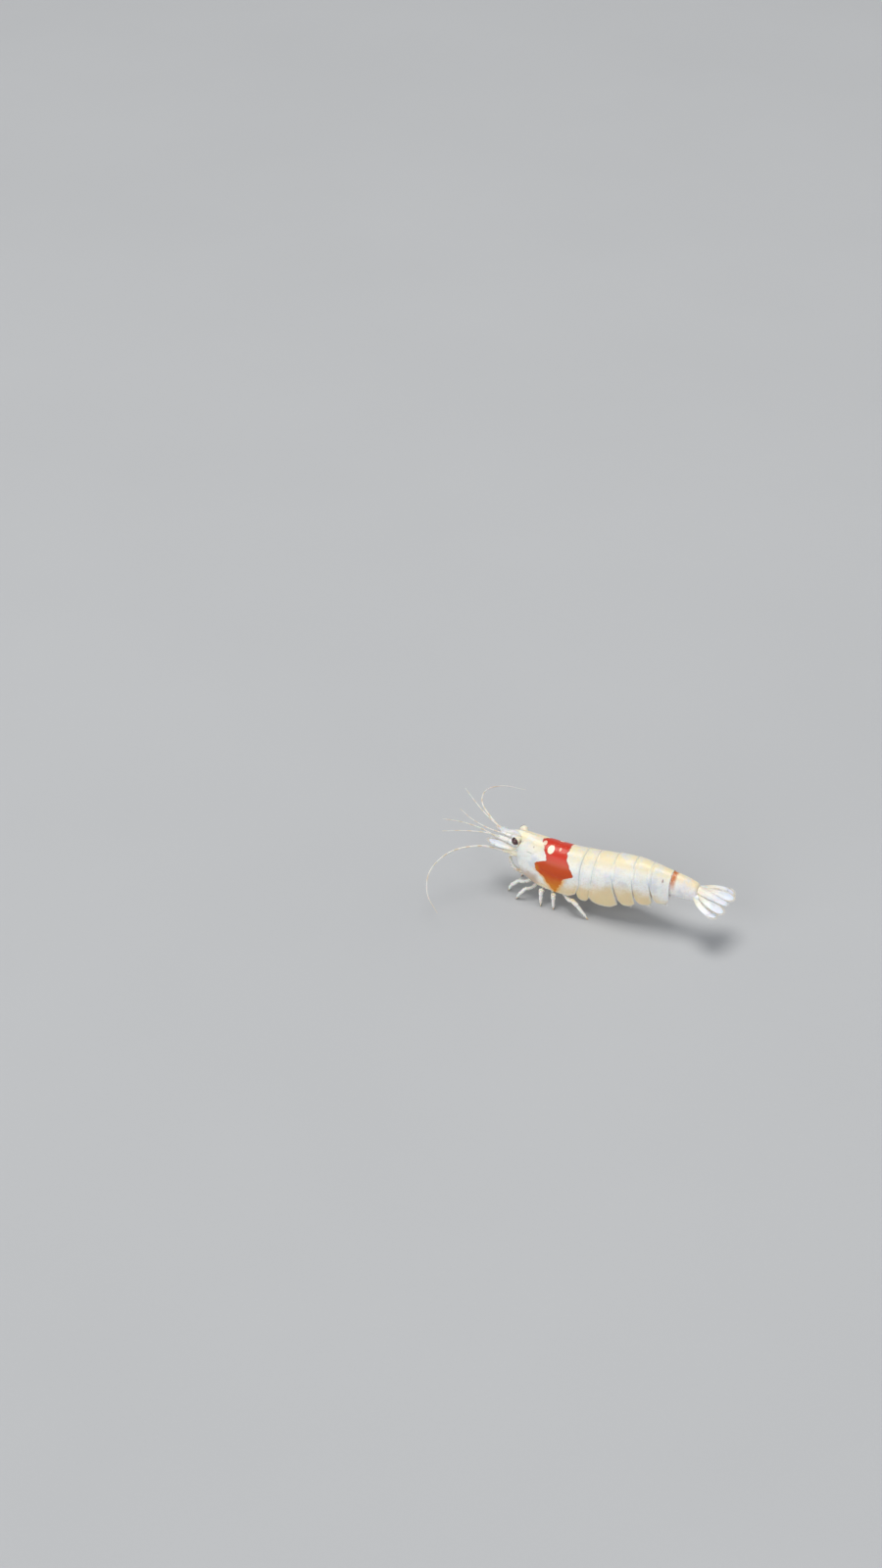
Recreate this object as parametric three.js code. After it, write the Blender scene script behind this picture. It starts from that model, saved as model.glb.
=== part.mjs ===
// A life-size bee shrimp of the crystal red kind, standing and grazing, as a still display model.
// Millimetres, +Z up. The head points along -Y, and the animal's left side along +X.
// Lengths run from y = 0 at the hind edge of the carapace, and heights from the floor at z = 0.
// The finished group is moved so that its origin is the middle of its own base.
import * as THREE from "three";

// ---- driving dimensions ----
const cut = 0.06; // gap between two neighbouring shell plates
const plateThickness = 0.42; // of the side plates at their lower edge
const thinnest = 0.5; // least thickness of a blade, leg or feeler
const eyeRadius = 0.41;
const eyeCentre = [1.05, -7, 5.92];
const carapaceFront = -6.85; // on the back, where the rostrum starts
const rostrumTip = [0, -9.05, 5.98];
const fan = { y: 11.34, z: 4.78, roll: 12, yaw: -12 }; // the tail fan's own frame, turned by degrees

// Along the back: height of the ridge line, and half of the body's width.
const backLine = through([
  [-6.9, 6.48], [-5.5, 6.33], [-4.4, 6.17], [-2.4, 6.04], [-0.4, 6.1], [1.6, 6.33],
  [3.5, 6.6], [4.8, 6.71], [5.8, 6.69], [7.7, 6.4], [9.8, 6.08], [11.3, 5.58],
]);
const halfWidth = through([
  [-7, 1.1], [-6, 1.4], [-4.5, 1.72], [-2.5, 1.88], [0, 1.88], [2.5, 1.84],
  [4.5, 1.7], [6, 1.5], [7.5, 1.24], [8.7, 1.02], [10, 0.9], [11.3, 0.78],
]);

// The carapace: its lower edge seen from the side, and the roof of the hollow where the legs are set.
const carapaceHem = through([
  [-6.8, 3.3], [-6.2, 2.6], [-5.3, 2.15], [-4.3, 1.8], [-2, 1.6], [-0.6, 1.6], [0.2, 1.75],
]);
const hollowRoof = through([[-6.9, 3.8], [-5.8, 3.15], [-4.3, 2.65], [0, 2.45]]);

// The five rings with side plates: where each starts on the back and at the hem, and how low it hangs.
const plates = [
  { back: 0, hem: -0.25, low: 1.5, corner: 0.3 },
  { back: 1.22, hem: 0.85, low: 1.5, corner: 0.6 },
  { back: 3.05, hem: 3.8, low: 2.12, corner: 0.5 },
  { back: 5, hem: 5.45, low: 2.6, corner: 0.5 },
  { back: 6.6, hem: 7.1, low: 3.05, corner: 0.5 },
];
const sixth = { start: 8.6, end: 11.3, lowStart: 3.62, lowEnd: 3.7 }; // the ring without side plates

// ---- small tools ----
const v3 = (x, y, z) => new THREE.Vector3(x, y, z);
const mix = THREE.MathUtils.lerp;

// A smooth curve through a few stations, each a pair of place and value.
function through(stations) {
  const last = stations.length - 1;
  const slope = (i) => {
    const a = stations[Math.max(0, i - 1)];
    const b = stations[Math.min(last, i + 1)];
    return (b[1] - a[1]) / (b[0] - a[0]);
  };
  return (at) => {
    const x = Math.min(Math.max(at, stations[0][0]), stations[last][0]);
    let i = 0;
    while (i < last - 1 && x > stations[i + 1][0]) i++;
    const [x0, y0] = stations[i];
    const [x1, y1] = stations[i + 1];
    const span = x1 - x0;
    const t = (x - x0) / span;
    const s = 1 - t;
    return (
      y0 * s * s * (1 + 2 * t) +
      y1 * t * t * (1 + 2 * s) +
      slope(i) * span * t * s * s -
      slope(i + 1) * span * s * t * t
    );
  };
}

// Joins closed rings of points into one solid, with a fan of faces over each end.
function loft(rings, firstCentre = middle(rings[0]), lastCentre = middle(rings.at(-1))) {
  const around = rings[0].length;
  const points = [...rings.flat(), firstCentre, lastCentre];
  const first = points.length - 2;
  const last = points.length - 1;
  const faces = [];
  for (let i = 0; i < around; i++) {
    const next = (i + 1) % around;
    const end = (rings.length - 1) * around;
    for (let r = 0; r < rings.length - 1; r++) {
      const here = r * around;
      faces.push(here + i, here + next, here + around + i);
      faces.push(here + next, here + around + next, here + around + i);
    }
    faces.push(first, next, i);
    faces.push(last, end + i, end + next);
  }
  if (signedVolume(points, faces) < 0) faces.reverse();
  return new THREE.BufferGeometry().setFromPoints(points).setIndex(faces);
}

function middle(ring) {
  return ring.reduce((sum, p) => sum.add(p), v3(0, 0, 0)).divideScalar(ring.length);
}

function signedVolume(points, faces) {
  let sum = 0;
  const normal = v3(0, 0, 0);
  for (let i = 0; i < faces.length; i += 3) {
    normal.crossVectors(points[faces[i + 1]], points[faces[i + 2]]);
    sum += points[faces[i]].dot(normal) / 6;
  }
  return sum;
}

// An oval ring: `across` and `up` are its two half axes.
function oval(centre, across, up, around) {
  return Array.from({ length: around }, (_, i) => {
    const angle = (2 * Math.PI * i) / around;
    return centre.clone().addScaledVector(across, Math.cos(angle)).addScaledVector(up, Math.sin(angle));
  });
}

// A jointed limb: a tube through its joints, given as [x, y, z, radius]. `beside` is a direction
// that the limb never runs along. A foot ends in a small level flat on the floor.
function limb(joints, { beside = v3(0, 1, 0), foot = false } = {}) {
  const at = joints.map(([x, y, z]) => v3(x, y, z));
  const rings = at.map((p, i) => {
    const way = v3(0, 0, 0);
    if (i > 0) way.add(p.clone().sub(at[i - 1]).normalize());
    if (i < at.length - 1) way.add(at[i + 1].clone().sub(p).normalize());
    if (foot && i === at.length - 1) way.set(0, 0, -1);
    way.normalize();
    const across = beside.clone().addScaledVector(way, -beside.dot(way)).normalize();
    const up = way.clone().cross(across);
    const radius = joints[i][3];
    return oval(p, across.multiplyScalar(radius), up.multiplyScalar(radius), 8);
  });
  return loft(rings);
}

// A feeler: a tube of even thickness along a smooth curve through a few points.
function feeler(points, steps) {
  const route = new THREE.CatmullRomCurve3(points.map((p) => v3(...p)), false, "centripetal");
  const section = new THREE.Shape().absarc(0, 0, thinnest / 2, 0, 2 * Math.PI);
  return new THREE.ExtrudeGeometry(section, { steps, curveSegments: 3, extrudePath: route });
}

// A blade, such as a lobe of the tail fan: oval rings of changing width along a line.
// `side` is the way across it, and `bend` how far its middle bows that way.
function blade(from, to, widthAt, { side, steps = 8, bend = 0 }) {
  const a = v3(...from);
  const b = v3(...to);
  const way = b.clone().sub(a).normalize();
  const across = side.clone().addScaledVector(way, -side.dot(way)).normalize();
  const up = way.clone().cross(across);
  const rings = Array.from({ length: steps + 1 }, (_, i) => {
    const t = i / steps;
    const centre = a.clone().lerp(b, t).addScaledVector(across, bend * Math.sin(Math.PI * t));
    const half = across.clone().multiplyScalar(widthAt(t) / 2);
    return oval(centre, half, up.clone().multiplyScalar(thinnest / 2), 10);
  });
  return loft(rings);
}

// ---- finishes ----
const finishes = {
  shell: { color: 0xe9e4da, roughness: 0.32 },
  bandedShell: { color: 0xd98a68, roughness: 0.3 },
  flesh: { color: 0xd8c9a8, roughness: 0.5 },
  leg: { color: 0xe3d8c0, roughness: 0.4 },
  feeler: { color: 0xd8c4a4, roughness: 0.45 },
  eye: { color: 0x1d1014, roughness: 0.12 },
};
const materials = {};
for (const [name, look] of Object.entries(finishes)) {
  materials[name] = new THREE.MeshStandardMaterial({ ...look, metalness: 0 });
}

const shrimp = new THREE.Group();

function add(name, geometry, finish, group = shrimp) {
  const mesh = new THREE.Mesh(geometry, materials[finish]);
  mesh.name = name;
  group.add(mesh);
  return mesh;
}

// `make(side)` gives the left piece for side 1; the right piece is the mirror image of `make(-1)`.
function addPair(name, make, finish, group = shrimp) {
  add(name + "_left", make(1), finish, group);
  add(name + "_right", make(-1), finish, group).scale.x = -1;
}

// ---- trunk: carapace and rings ----
// One ring of points round the body. `place(q)` gives the station along the body at a share q of the way
// from the ridge (0) down to the hem (1); hem is the height of the lower edge, and roof that of the hollow
// between the side plates, where the legs hang.
function trunkRing(place, hem, roof, hollow) {
  const outer = 8;
  const half = [];
  for (let i = 0; i <= outer; i++) {
    const q = i / outer;
    const y = place(q);
    const w = halfWidth(y);
    const top = backLine(y);
    const widest = mix(hem, top, 0.52);
    if (q <= 0.5) {
      const angle = Math.PI * q;
      half.push(v3(w * Math.sin(angle), y, widest + (top - widest) * Math.cos(angle)));
    } else {
      const down = (q - 0.5) * 2;
      half.push(v3(w * (1 - 0.1 * down ** 2.2), y, mix(widest, hem, down)));
    }
  }
  const edge = half.at(-1);
  half.push(v3(edge.x - plateThickness, edge.y, hem + 0.05));
  half.push(v3(edge.x * hollow, place(0.9), roof));
  half.push(v3(0, place(0.9), roof));
  const other = half.slice(1, -1).reverse().map((p) => v3(-p.x, p.y, p.z));
  return [...half, ...other];
}

function carapace() {
  const steps = 12;
  const front = through([
    [0, carapaceFront], [0.14, -6.65], [0.26, -6.5], [0.4, -6.76], [0.6, -6.66], [1, -6.1],
  ]);
  const rear = through([[0, -cut], [0.35, -0.2], [0.7, -0.16], [1, -0.55]]);
  const rings = [];
  for (let i = 0; i <= steps; i++) {
    const v = i / steps;
    const place = (q) => mix(front(q), rear(q), v);
    const rounding = 0.5 * Math.max(0, (v - 0.82) / 0.18) ** 2;
    rings.push(trunkRing(place, carapaceHem(place(1)) + rounding, hollowRoof(place(1)), 0.52));
  }
  return loft(rings, v3(0, -6.6, 4.9), v3(0, -0.2, 4.3));
}

function ring(n) {
  const steps = 5;
  const here = plates[n - 1];
  const next = plates[n] ?? { back: sixth.start, hem: sixth.start };
  const start = (q) => mix(here.back, here.hem, q ** 2) + cut / 2;
  const end = (q) => mix(next.back, next.hem, q ** 2) - cut / 2;
  const rings = [];
  for (let i = 0; i <= steps; i++) {
    const v = i / steps;
    const place = (q) => mix(start(q), end(q), v);
    const hem = here.low + here.corner * Math.abs(2 * v - 1) ** 3;
    rings.push(trunkRing(place, hem, here.low + 1, 0.5));
  }
  const core = here.low + 2.35;
  return loft(rings, v3(0, start(0.4), core), v3(0, end(0.4), core));
}

function sixthRing() {
  const steps = 6;
  const rings = [];
  for (let i = 0; i <= steps; i++) {
    const v = i / steps;
    const y = mix(sixth.start + cut, sixth.end, v);
    const top = backLine(y);
    const low = mix(sixth.lowStart, sixth.lowEnd, v);
    const centre = v3(0, y, (top + low) / 2);
    rings.push(oval(centre, v3(halfWidth(y) * 0.96, 0, 0), v3(0, 0, (top - low) / 2), 16));
  }
  return loft(rings);
}

add("carapace", carapace(), "bandedShell");
for (let n = 1; n <= plates.length; n++) add("pleonite_" + n, ring(n), "shell");
add("pleonite_6", sixthRing(), "shell");

// The rostrum: a toothed blade over the eyes, cut as a flat outline and stood on edge.
function rostrum() {
  const teeth = 5;
  const start = carapaceFront - cut;
  const [, tip, tipHeight] = rostrumTip;
  const top = backLine(start) + 0.02;
  const height = (y) => mix(tipHeight, top, (y - tip) / (start - tip));
  const outline = new THREE.Shape();
  outline.moveTo(start, top - 0.62);
  outline.lineTo(tip, tipHeight - 0.12);
  outline.lineTo(tip, tipHeight);
  for (let i = 0; i < teeth; i++) {
    const point = mix(tip, start, (i + 0.35) / teeth);
    const root = mix(tip, start, (i + 0.9) / teeth);
    outline.lineTo(point, height(point) + 0.14);
    outline.lineTo(root, height(root));
  }
  outline.lineTo(start, top);
  outline.closePath();
  const geometry = new THREE.ExtrudeGeometry(outline, { depth: thinnest, bevelEnabled: false });
  geometry.translate(0, 0, -thinnest / 2);
  return geometry.applyMatrix4(new THREE.Matrix4().makeBasis(v3(0, 1, 0), v3(0, 0, 1), v3(1, 0, 0)));
}
add("rostrum", rostrum(), "shell");

// The underside of the trunk, between the legs, and the mouth in front of it.
function sternum() {
  const steps = 6;
  const rings = Array.from({ length: steps + 1 }, (_, i) => {
    const v = i / steps;
    const y = mix(-5.9, -1.2, v);
    const depth = 0.7;
    const half = mix(0.34, 0.48, Math.sin(Math.PI * v));
    return oval(v3(0, y, hollowRoof(y) - 0.12 - depth / 2), v3(half, 0, 0), v3(0, 0, depth / 2), 10);
  });
  return loft(rings);
}
add("sternum", sternum(), "flesh");

const mouth = [[0, -7.05, 4.25, 0.28], [0, -7, 3.75, 0.36], [0, -6.72, 3.25, 0.36], [0, -6.3, 2.9, 0.28]];
add("mouthparts", limb(mouth, { beside: v3(1, 0, 0) }), "flesh");

// ---- head ----
function eye() {
  return new THREE.SphereGeometry(eyeRadius, 16, 10).translate(...eyeCentre);
}
addPair("eye", eye, "eye");

addPair(
  "eyestalk",
  () => limb([[0.51, -6.76, 5.8, 0.25], [0.58, -6.88, 5.85, 0.26], [0.66, -6.93, 5.88, 0.25]]),
  "shell",
);

// First feelers: a stem of three joints that carries an outer and an inner whip.
const stem = [
  [0.35, -6.95, 5.05, 0.27], [0.35, -7.7, 5.18, 0.28], [0.36, -8.4, 5.3, 0.27], [0.38, -9, 5.4, 0.25],
];
addPair("antennule", () => limb(stem, { beside: v3(1, 0, 0) }), "shell");
const outerWhip = (side) => [
  [0.7, -9.28, 5.64], [1, -10.7, 6.4], [1.75 + 0.1 * side, -12.3, 7.2], [2.75 + 0.25 * side, -13.8, 7.85],
];
const innerWhip = (side) => [
  [0.29, -9.3, 5.42], [0.48, -10.7, 5.5], [1.15, -12.5, 5.6 + 0.1 * side], [2.15, -14.1, 5.75 + 0.2 * side],
];
addPair("antennule_outer", (side) => feeler(outerWhip(side), 12), "feeler");
addPair("antennule_inner", (side) => feeler(innerWhip(side), 12), "feeler");

// Second feelers: a stout base, a leaf-shaped scale over it, and the long whip.
const root = [[0.9, -7.0, 4.42, 0.34], [0.95, -7.5, 4.43, 0.34], [1.02, -7.95, 4.43, 0.28]];
addPair("antenna_base", () => limb(root, { beside: v3(1, 0, 0) }), "shell");
const scaleWidth = through([[0, 0.44], [0.35, 0.8], [0.7, 0.84], [0.9, 0.6], [1, 0.28]]);
const scale = () => blade([1.02, -7.25, 5], [1.16, -9.85, 5.36], scaleWidth, { side: v3(1, 0, -0.12) });
addPair("antenna_scale", scale, "shell");
const leftSweep = [
  [1.06, -8.27, 4.44], [1.8, -10.3, 4.85], [3.6, -12.6, 4.7],
  [6, -13.7, 3.8], [8.1, -13.1, 2.7], [9.5, -11.4, 1.7],
];
const rightSweep = [
  [1.06, -8.27, 4.44], [2, -10.4, 5.1], [4, -12.6, 5.4],
  [6.5, -13.2, 5.2], [8.6, -12.2, 4.6], [9.8, -10.2, 3.9],
];
addPair("antenna", (side) => feeler(side > 0 ? leftSweep : rightSweep, 26), "feeler");

// ---- legs ----
// The third jaw legs, folded up in front of the mouth.
const jawLeg = [
  [0.5, -5.95, 2.25, 0.26], [0.8, -6.65, 2.3, 0.27], [0.84, -7.35, 2.85, 0.26], [0.74, -7.65, 3.6, 0.25],
];
addPair("maxilliped", () => limb(jawLeg, { beside: v3(1, 0, 0) }), "leg");

// Two pairs of small pincers, picking at the floor.
const pincers = {
  1: (side) => [
    [0.82, -5.3, 1.75, 0.27], [1.15, -5.85, 1.5, 0.27], [1.3, -6.5, 1.5, 0.27],
    [1.32, -7.1 - 0.1 * side, 0.75, 0.3], [1.3, -7.35 - 0.15 * side, 0, 0.25],
  ],
  2: (side) => [
    [0.84, -4.65, 1.62, 0.27], [1.4, -4.95, 1.22, 0.26], [2, -5.5, 1.3, 0.26],
    [2.2, -6.2 + 0.2 * side, 0.65, 0.3], [2.2, -6.6 + 0.3 * side, 0, 0.25],
  ],
};
for (const n of [1, 2]) {
  addPair("cheliped_" + n, (side) => limb(pincers[n](side), { beside: v3(1, 0, 0), foot: true }), "leg");
}

// Three pairs of walking legs: hip, knee and foot, each leg reaching further to the rear, and how much
// further the left foot of the pair is set back than the middle of the two.
const stance = {
  3: { hip: [0.84, -3.85, 1.6], knee: [2.05, -3.95, 1.64], foot: [2.4, -3.9, 0], stride: 0.2 },
  4: { hip: [0.84, -3, 1.58], knee: [2.2, -2.4, 1.6], foot: [2.35, -2.15, 0], stride: -0.25 },
  5: { hip: [0.84, -2.1, 1.56], knee: [2.35, -0.6, 1.66], foot: [2.45, 1.05, 0], stride: 0.2 },
};

function walkingLeg(n, side) {
  const { hip, knee, foot, stride } = stance[n];
  const step = stride * side;
  const bent = [knee[0], knee[1] + step / 2, knee[2]];
  const planted = [foot[0], foot[1] + step, foot[2]];
  const between = (a, b, t, lift) => [mix(a[0], b[0], t), mix(a[1], b[1], t), mix(a[2], b[2], t) + lift];
  return limb(
    [
      [...hip, 0.27],
      [...between(hip, bent, 0.3, -0.36), 0.26],
      [...between(hip, bent, 0.7, -0.34), 0.27],
      [...bent, 0.26],
      [...between(bent, planted, 0.3, 0.08), 0.26],
      [...between(bent, planted, 0.8, 0.02), 0.25],
      [...planted, 0.25],
    ],
    { foot: true },
  );
}
for (const n of [3, 4, 5]) {
  addPair("walking_leg_" + n, (side) => walkingLeg(n, side), "leg");
}

// ---- swimmerets ----
const swimmerets = [
  { y: 0.4, top: 2.4, tip: 0.75 },
  { y: 2, top: 2.4, tip: 0.75 },
  { y: 4.2, top: 3.02, tip: 1.3 },
  { y: 5.95, top: 3.48, tip: 1.8 },
  { y: 7.5, top: 3.9, tip: 2.4 },
];
function swimmeret({ y, top, tip }, side) {
  const lean = 0.85 + 0.08 * side;
  const x = 0.5 * (0.9 * halfWidth(y) - plateThickness);
  const halfLength = through([[0, 0.27], [0.25, 0.25], [0.6, 0.4], [0.85, 0.36], [1, 0.25]]);
  const stations = [0, 0.2, 0.45, 0.65, 0.85, 1];
  const rings = stations.map((t) => {
    const centre = v3(x + 0.08 * t, y + lean * t * t, mix(top, tip, t));
    return oval(centre, v3(thinnest / 2, 0, 0), v3(0, halfLength(t), 0), 8);
  });
  return loft(rings);
}
swimmerets.forEach((where, i) => {
  addPair("pleopod_" + (i + 1), (side) => swimmeret(where, side), "leg");
});

// ---- tail fan, in a frame of its own: its y runs to the rear ----
const tail = new THREE.Group();
tail.position.set(0, fan.y, fan.z);
tail.rotation.set(0, THREE.MathUtils.degToRad(fan.roll), THREE.MathUtils.degToRad(fan.yaw));
shrimp.add(tail);

function lobe(from, to, widths, bend = 0) {
  return blade(from, to, through(widths), { side: v3(1, 0, 0), steps: 9, bend });
}
const telsonWidths = [[0, 0.82], [0.3, 0.84], [0.7, 0.68], [0.9, 0.5], [1, 0.32]];
const innerWidths = [[0, 0.3], [0.3, 0.46], [0.65, 0.72], [0.9, 0.56], [1, 0.28]];
const outerWidths = [[0, 0.46], [0.3, 0.68], [0.65, 0.76], [0.9, 0.62], [1, 0.32]];
add("telson", lobe([0, 0.08, 0.3], [0, 2.8, -0.05], telsonWidths), "shell", tail);
const innerLobe = () => lobe([0.62, 0.12, 0.05], [0.96, 2.98, -0.12], innerWidths, 0.04);
const outerLobe = () => lobe([1.02, 0.02, -0.08], [1.78, 2.6, -0.28], outerWidths, 0.12);
addPair("uropod_endopod", innerLobe, "shell", tail);
addPair("uropod_exopod", outerLobe, "shell", tail);

// The origin goes to the middle of the base.
const bounds = new THREE.Box3().setFromObject(shrimp);
shrimp.position.set(-(bounds.min.x + bounds.max.x) / 2, -(bounds.min.y + bounds.max.y) / 2, 0);

export default shrimp;
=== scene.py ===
# A crystal red bee shrimp at life size, standing and grazing on the floor.
# Shapes are worked out in millimetres in the animal's own axes: y = 0 at the hind edge of the
# carapace, z = 0 on the floor, the head towards -Y and the left side towards +X.
import random
from functools import partial
from itertools import pairwise
from math import atan2, copysign, cos, exp, pi, radians, sin, sqrt, tau
import bmesh
import bpy
from mathutils import Matrix, Vector, noise


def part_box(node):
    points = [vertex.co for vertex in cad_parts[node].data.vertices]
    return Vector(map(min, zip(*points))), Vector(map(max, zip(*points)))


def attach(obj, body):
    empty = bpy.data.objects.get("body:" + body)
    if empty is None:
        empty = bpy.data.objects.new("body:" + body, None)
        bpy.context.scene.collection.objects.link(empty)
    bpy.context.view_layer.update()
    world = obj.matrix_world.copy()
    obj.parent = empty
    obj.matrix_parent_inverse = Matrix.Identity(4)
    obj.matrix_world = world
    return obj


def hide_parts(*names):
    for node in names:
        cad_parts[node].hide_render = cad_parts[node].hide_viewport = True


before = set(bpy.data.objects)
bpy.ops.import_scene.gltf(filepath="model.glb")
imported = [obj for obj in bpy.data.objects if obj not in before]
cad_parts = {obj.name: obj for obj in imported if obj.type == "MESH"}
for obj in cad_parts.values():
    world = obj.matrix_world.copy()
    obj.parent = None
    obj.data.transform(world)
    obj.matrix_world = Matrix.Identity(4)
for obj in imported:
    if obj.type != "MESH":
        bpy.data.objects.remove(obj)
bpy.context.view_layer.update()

mm = 0.001
plateGap = 0.06  # between two neighbouring plates of the frame
carapaceLow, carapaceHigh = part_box("carapace")
origin = Vector(((carapaceLow.x + carapaceHigh.x) / 2, carapaceHigh.y + plateGap * mm, 0))
dice = random.Random(7)
hairs = {}  # one shape of joined hairs for each region
print("frame loaded")


# Small tools for curves and meshes

def mix(a, b, t):
    return a + (b - a) * t


def ease(t):
    t = min(max(t, 0), 1)
    return t * t * (3 - 2 * t)


def hump(value, centre, width):
    # 1 at the centre, fading away on both sides of it
    return exp(-((value - centre) / width) ** 2)


def through(stations):
    # a smooth curve through pairs of place and value
    last = len(stations) - 1

    def slope(i):
        a, b = stations[max(0, i - 1)], stations[min(last, i + 1)]
        return (b[1] - a[1]) / (b[0] - a[0])

    slopes = [slope(i) for i in range(last + 1)]

    def value(at):
        x = min(max(at, stations[0][0]), stations[last][0])
        i = 0
        while i < last - 1 and x > stations[i + 1][0]:
            i += 1
        (x0, y0), (x1, y1) = stations[i], stations[i + 1]
        span = x1 - x0
        t = (x - x0) / span
        s = 1 - t
        ends = y0 * s * s * (1 + 2 * t) + y1 * t * t * (1 + 2 * s)
        return ends + (slopes[i] * t * s * s - slopes[i + 1] * s * t * t) * span

    return value


def smoothPath(points, count):
    # count + 1 spots along a rounded path through a few points
    points = [Vector(p) for p in points]
    ends = [points[0] * 2 - points[1], *points, points[-1] * 2 - points[-2]]
    path = []
    for k in range(count + 1):
        at = k / count * (len(points) - 1)
        i = min(int(at), len(points) - 2)
        t = at - i
        a, b, c, d = ends[i:i + 4]
        bend = (a * 2 - b * 5 + c * 4 - d) * t + (b * 3 - a - c * 3 + d) * t * t
        path.append((b * 2 + ((c - a) + bend) * t) * 0.5)
    return path


def crosswise(vector, way):
    # the part of a vector at a right angle to a way, one unit long
    return (vector - way * vector.dot(way)).normalized()


def taper(start, end, steps, power):
    return [mix(start, end, (i / steps) ** power) for i in range(steps + 1)]


def bulge(size, steps, power, before=1, after=1.5):
    # radii that swell in the middle, from a little before their start to a little after their end
    return [size * sin(pi * (i + before) / (steps + before + after)) ** power for i in range(steps + 1)]


def newShape():
    # uvs is for hairs, where each point has the place of its root; lay is for plates and leaves, and
    # gives how far each point is from the midline and along the piece, as shares
    return {"points": [], "faces": [], "uvs": [], "lay": []}


def addRings(shape, rings):
    # closed rings of points joined into one skin, with a fan over each end
    first, around = len(shape["points"]), len(rings[0])
    for ring in rings:
        shape["points"].extend(ring)
    faces = shape["faces"]
    for r in range(len(rings) - 1):
        for i in range(around):
            a, b = first + r * around + i, first + r * around + (i + 1) % around
            faces.append((a, b, b + around, a + around))
    for start, ring in ((first, rings[0]), (first + (len(rings) - 1) * around, rings[-1])):
        if around <= 4:
            faces.append(tuple(range(start, start + around)))
            continue
        shape["points"].append(sum(ring, Vector()) / around)
        middle = len(shape["points"]) - 1
        faces.extend((start + i, start + (i + 1) % around, middle) for i in range(around))


def addSheet(shape, outer, inner):
    # two grids of points, an outer and an inner face, closed round their edge
    first, rows, columns = len(shape["points"]), len(outer), len(outer[0])
    for grid in (outer, inner):
        for row in grid:
            shape["points"].extend(row)
    faces, under = shape["faces"], rows * columns
    for i in range(rows - 1):
        for j in range(columns - 1):
            a = first + i * columns + j
            quad = (a, a + 1, a + columns + 1, a + columns)
            faces.append(quad)
            faces.append(tuple(under + k for k in reversed(quad)))
    edge = [(0, j) for j in range(columns - 1)] + [(i, columns - 1) for i in range(rows - 1)]
    edge += [(rows - 1, j) for j in range(columns - 1, 0, -1)] + [(i, 0) for i in range(rows - 1, 0, -1)]
    spots = [first + i * columns + j for i, j in edge]
    for a, b in zip(spots, spots[1:] + spots[:1]):
        faces.append((b, a, a + under, b + under))


def ringOf(count, place):
    # points all round: place gives each one from the cosine and sine of its angle
    turns = [tau * k / count for k in range(count)]
    return [place(cos(a), sin(a)) for a in turns]


def addTube(shape, path, radii, sides, flat=1, beside=None):
    # a tube along a path; flat is its width along beside as a share of its depth
    rings = []
    across = Vector(beside or (0.31, 0.17, 0.94))
    for i, p in enumerate(path):
        way = (path[min(i + 1, len(path) - 1)] - path[max(i - 1, 0)]).normalized()
        across = crosswise(across, way)
        up = way.cross(across)
        rings.append(ringOf(sides, lambda c, s: p + (across * (c * flat) + up * s) * radii[i]))
    addRings(shape, rings)


def addSpine(shape, root, tip, width, sides=6):
    root, tip = Vector(root), Vector(tip)
    path = [root.lerp(tip, t) for t in (0, 0.35, 0.7, 0.93, 1)]
    addTube(shape, path, [width * s for s in (1, 0.8, 0.45, 0.18, 0.04)], sides)


def unwrapped(p):
    # the place of a point on the body's skin unrolled round its long axis
    front, length, axis = -16, 32, 3.8
    return (p.y - front) / length, 0.5 + atan2(p.x, p.z - axis) / tau


def addHair(shape, root, way, length, width):
    # one fine seta
    path = [root + way * (length * t) for t in (0, 0.35, 0.7, 1)]
    before = len(shape["points"])
    addTube(shape, path, [width * s for s in (1, 0.85, 0.55, 0.15)], 3)
    u, v = unwrapped(root)
    patch = 0.003
    for k in range(len(shape["points"]) - before):
        shape["uvs"].append((u + patch * (k % 3 / 2 - 0.5), v + patch * (k // 3 / 3 - 0.5)))


def hairsOf(region):
    return hairs.setdefault(region, newShape())


def mirror(shape):
    for p in shape["points"]:
        p.x = -p.x
    shape["uvs"] = [(u, 1 - v) for u, v in shape["uvs"]]


def move(shape, turn):
    shape["points"] = [turn @ p for p in shape["points"]]


def merge(shape, other):
    first = len(shape["points"])
    shape["points"].extend(other["points"])
    shape["faces"].extend(tuple(first + i for i in f) for f in other["faces"])
    shape["uvs"].extend(other["uvs"])


def show(name, data):
    made = bpy.data.objects.new(name, data)
    bpy.context.scene.collection.objects.link(made)
    return made


def makePiece(name, shape, finish, nodes=()):
    mesh = bpy.data.meshes.new("shrimp_" + name)
    mesh.from_pydata([origin + p * mm for p in shape["points"]], [], shape["faces"])
    work = bmesh.new()
    work.from_mesh(mesh)
    bmesh.ops.recalc_face_normals(work, faces=work.faces)
    work.to_mesh(mesh)
    work.free()
    mesh.polygons.foreach_set("use_smooth", [True] * len(mesh.polygons))
    shape["lay"].extend([(0.5, 0.5)] * (len(shape["points"]) - len(shape["lay"]) if shape["lay"] else 0))
    for key, title in (("uvs", "OFBake"), ("lay", "lay")):
        if shape[key]:
            layer = mesh.uv_layers.new(name=title)
            layer.data.foreach_set("uv", [c for loop in mesh.loops for c in shape[key][loop.vertex_index]])
    mesh.materials.append(finishes[finish])
    piece = show("shrimp_" + name, mesh)
    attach(piece, "root")
    if nodes:
        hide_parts(*nodes)
    return piece


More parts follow.
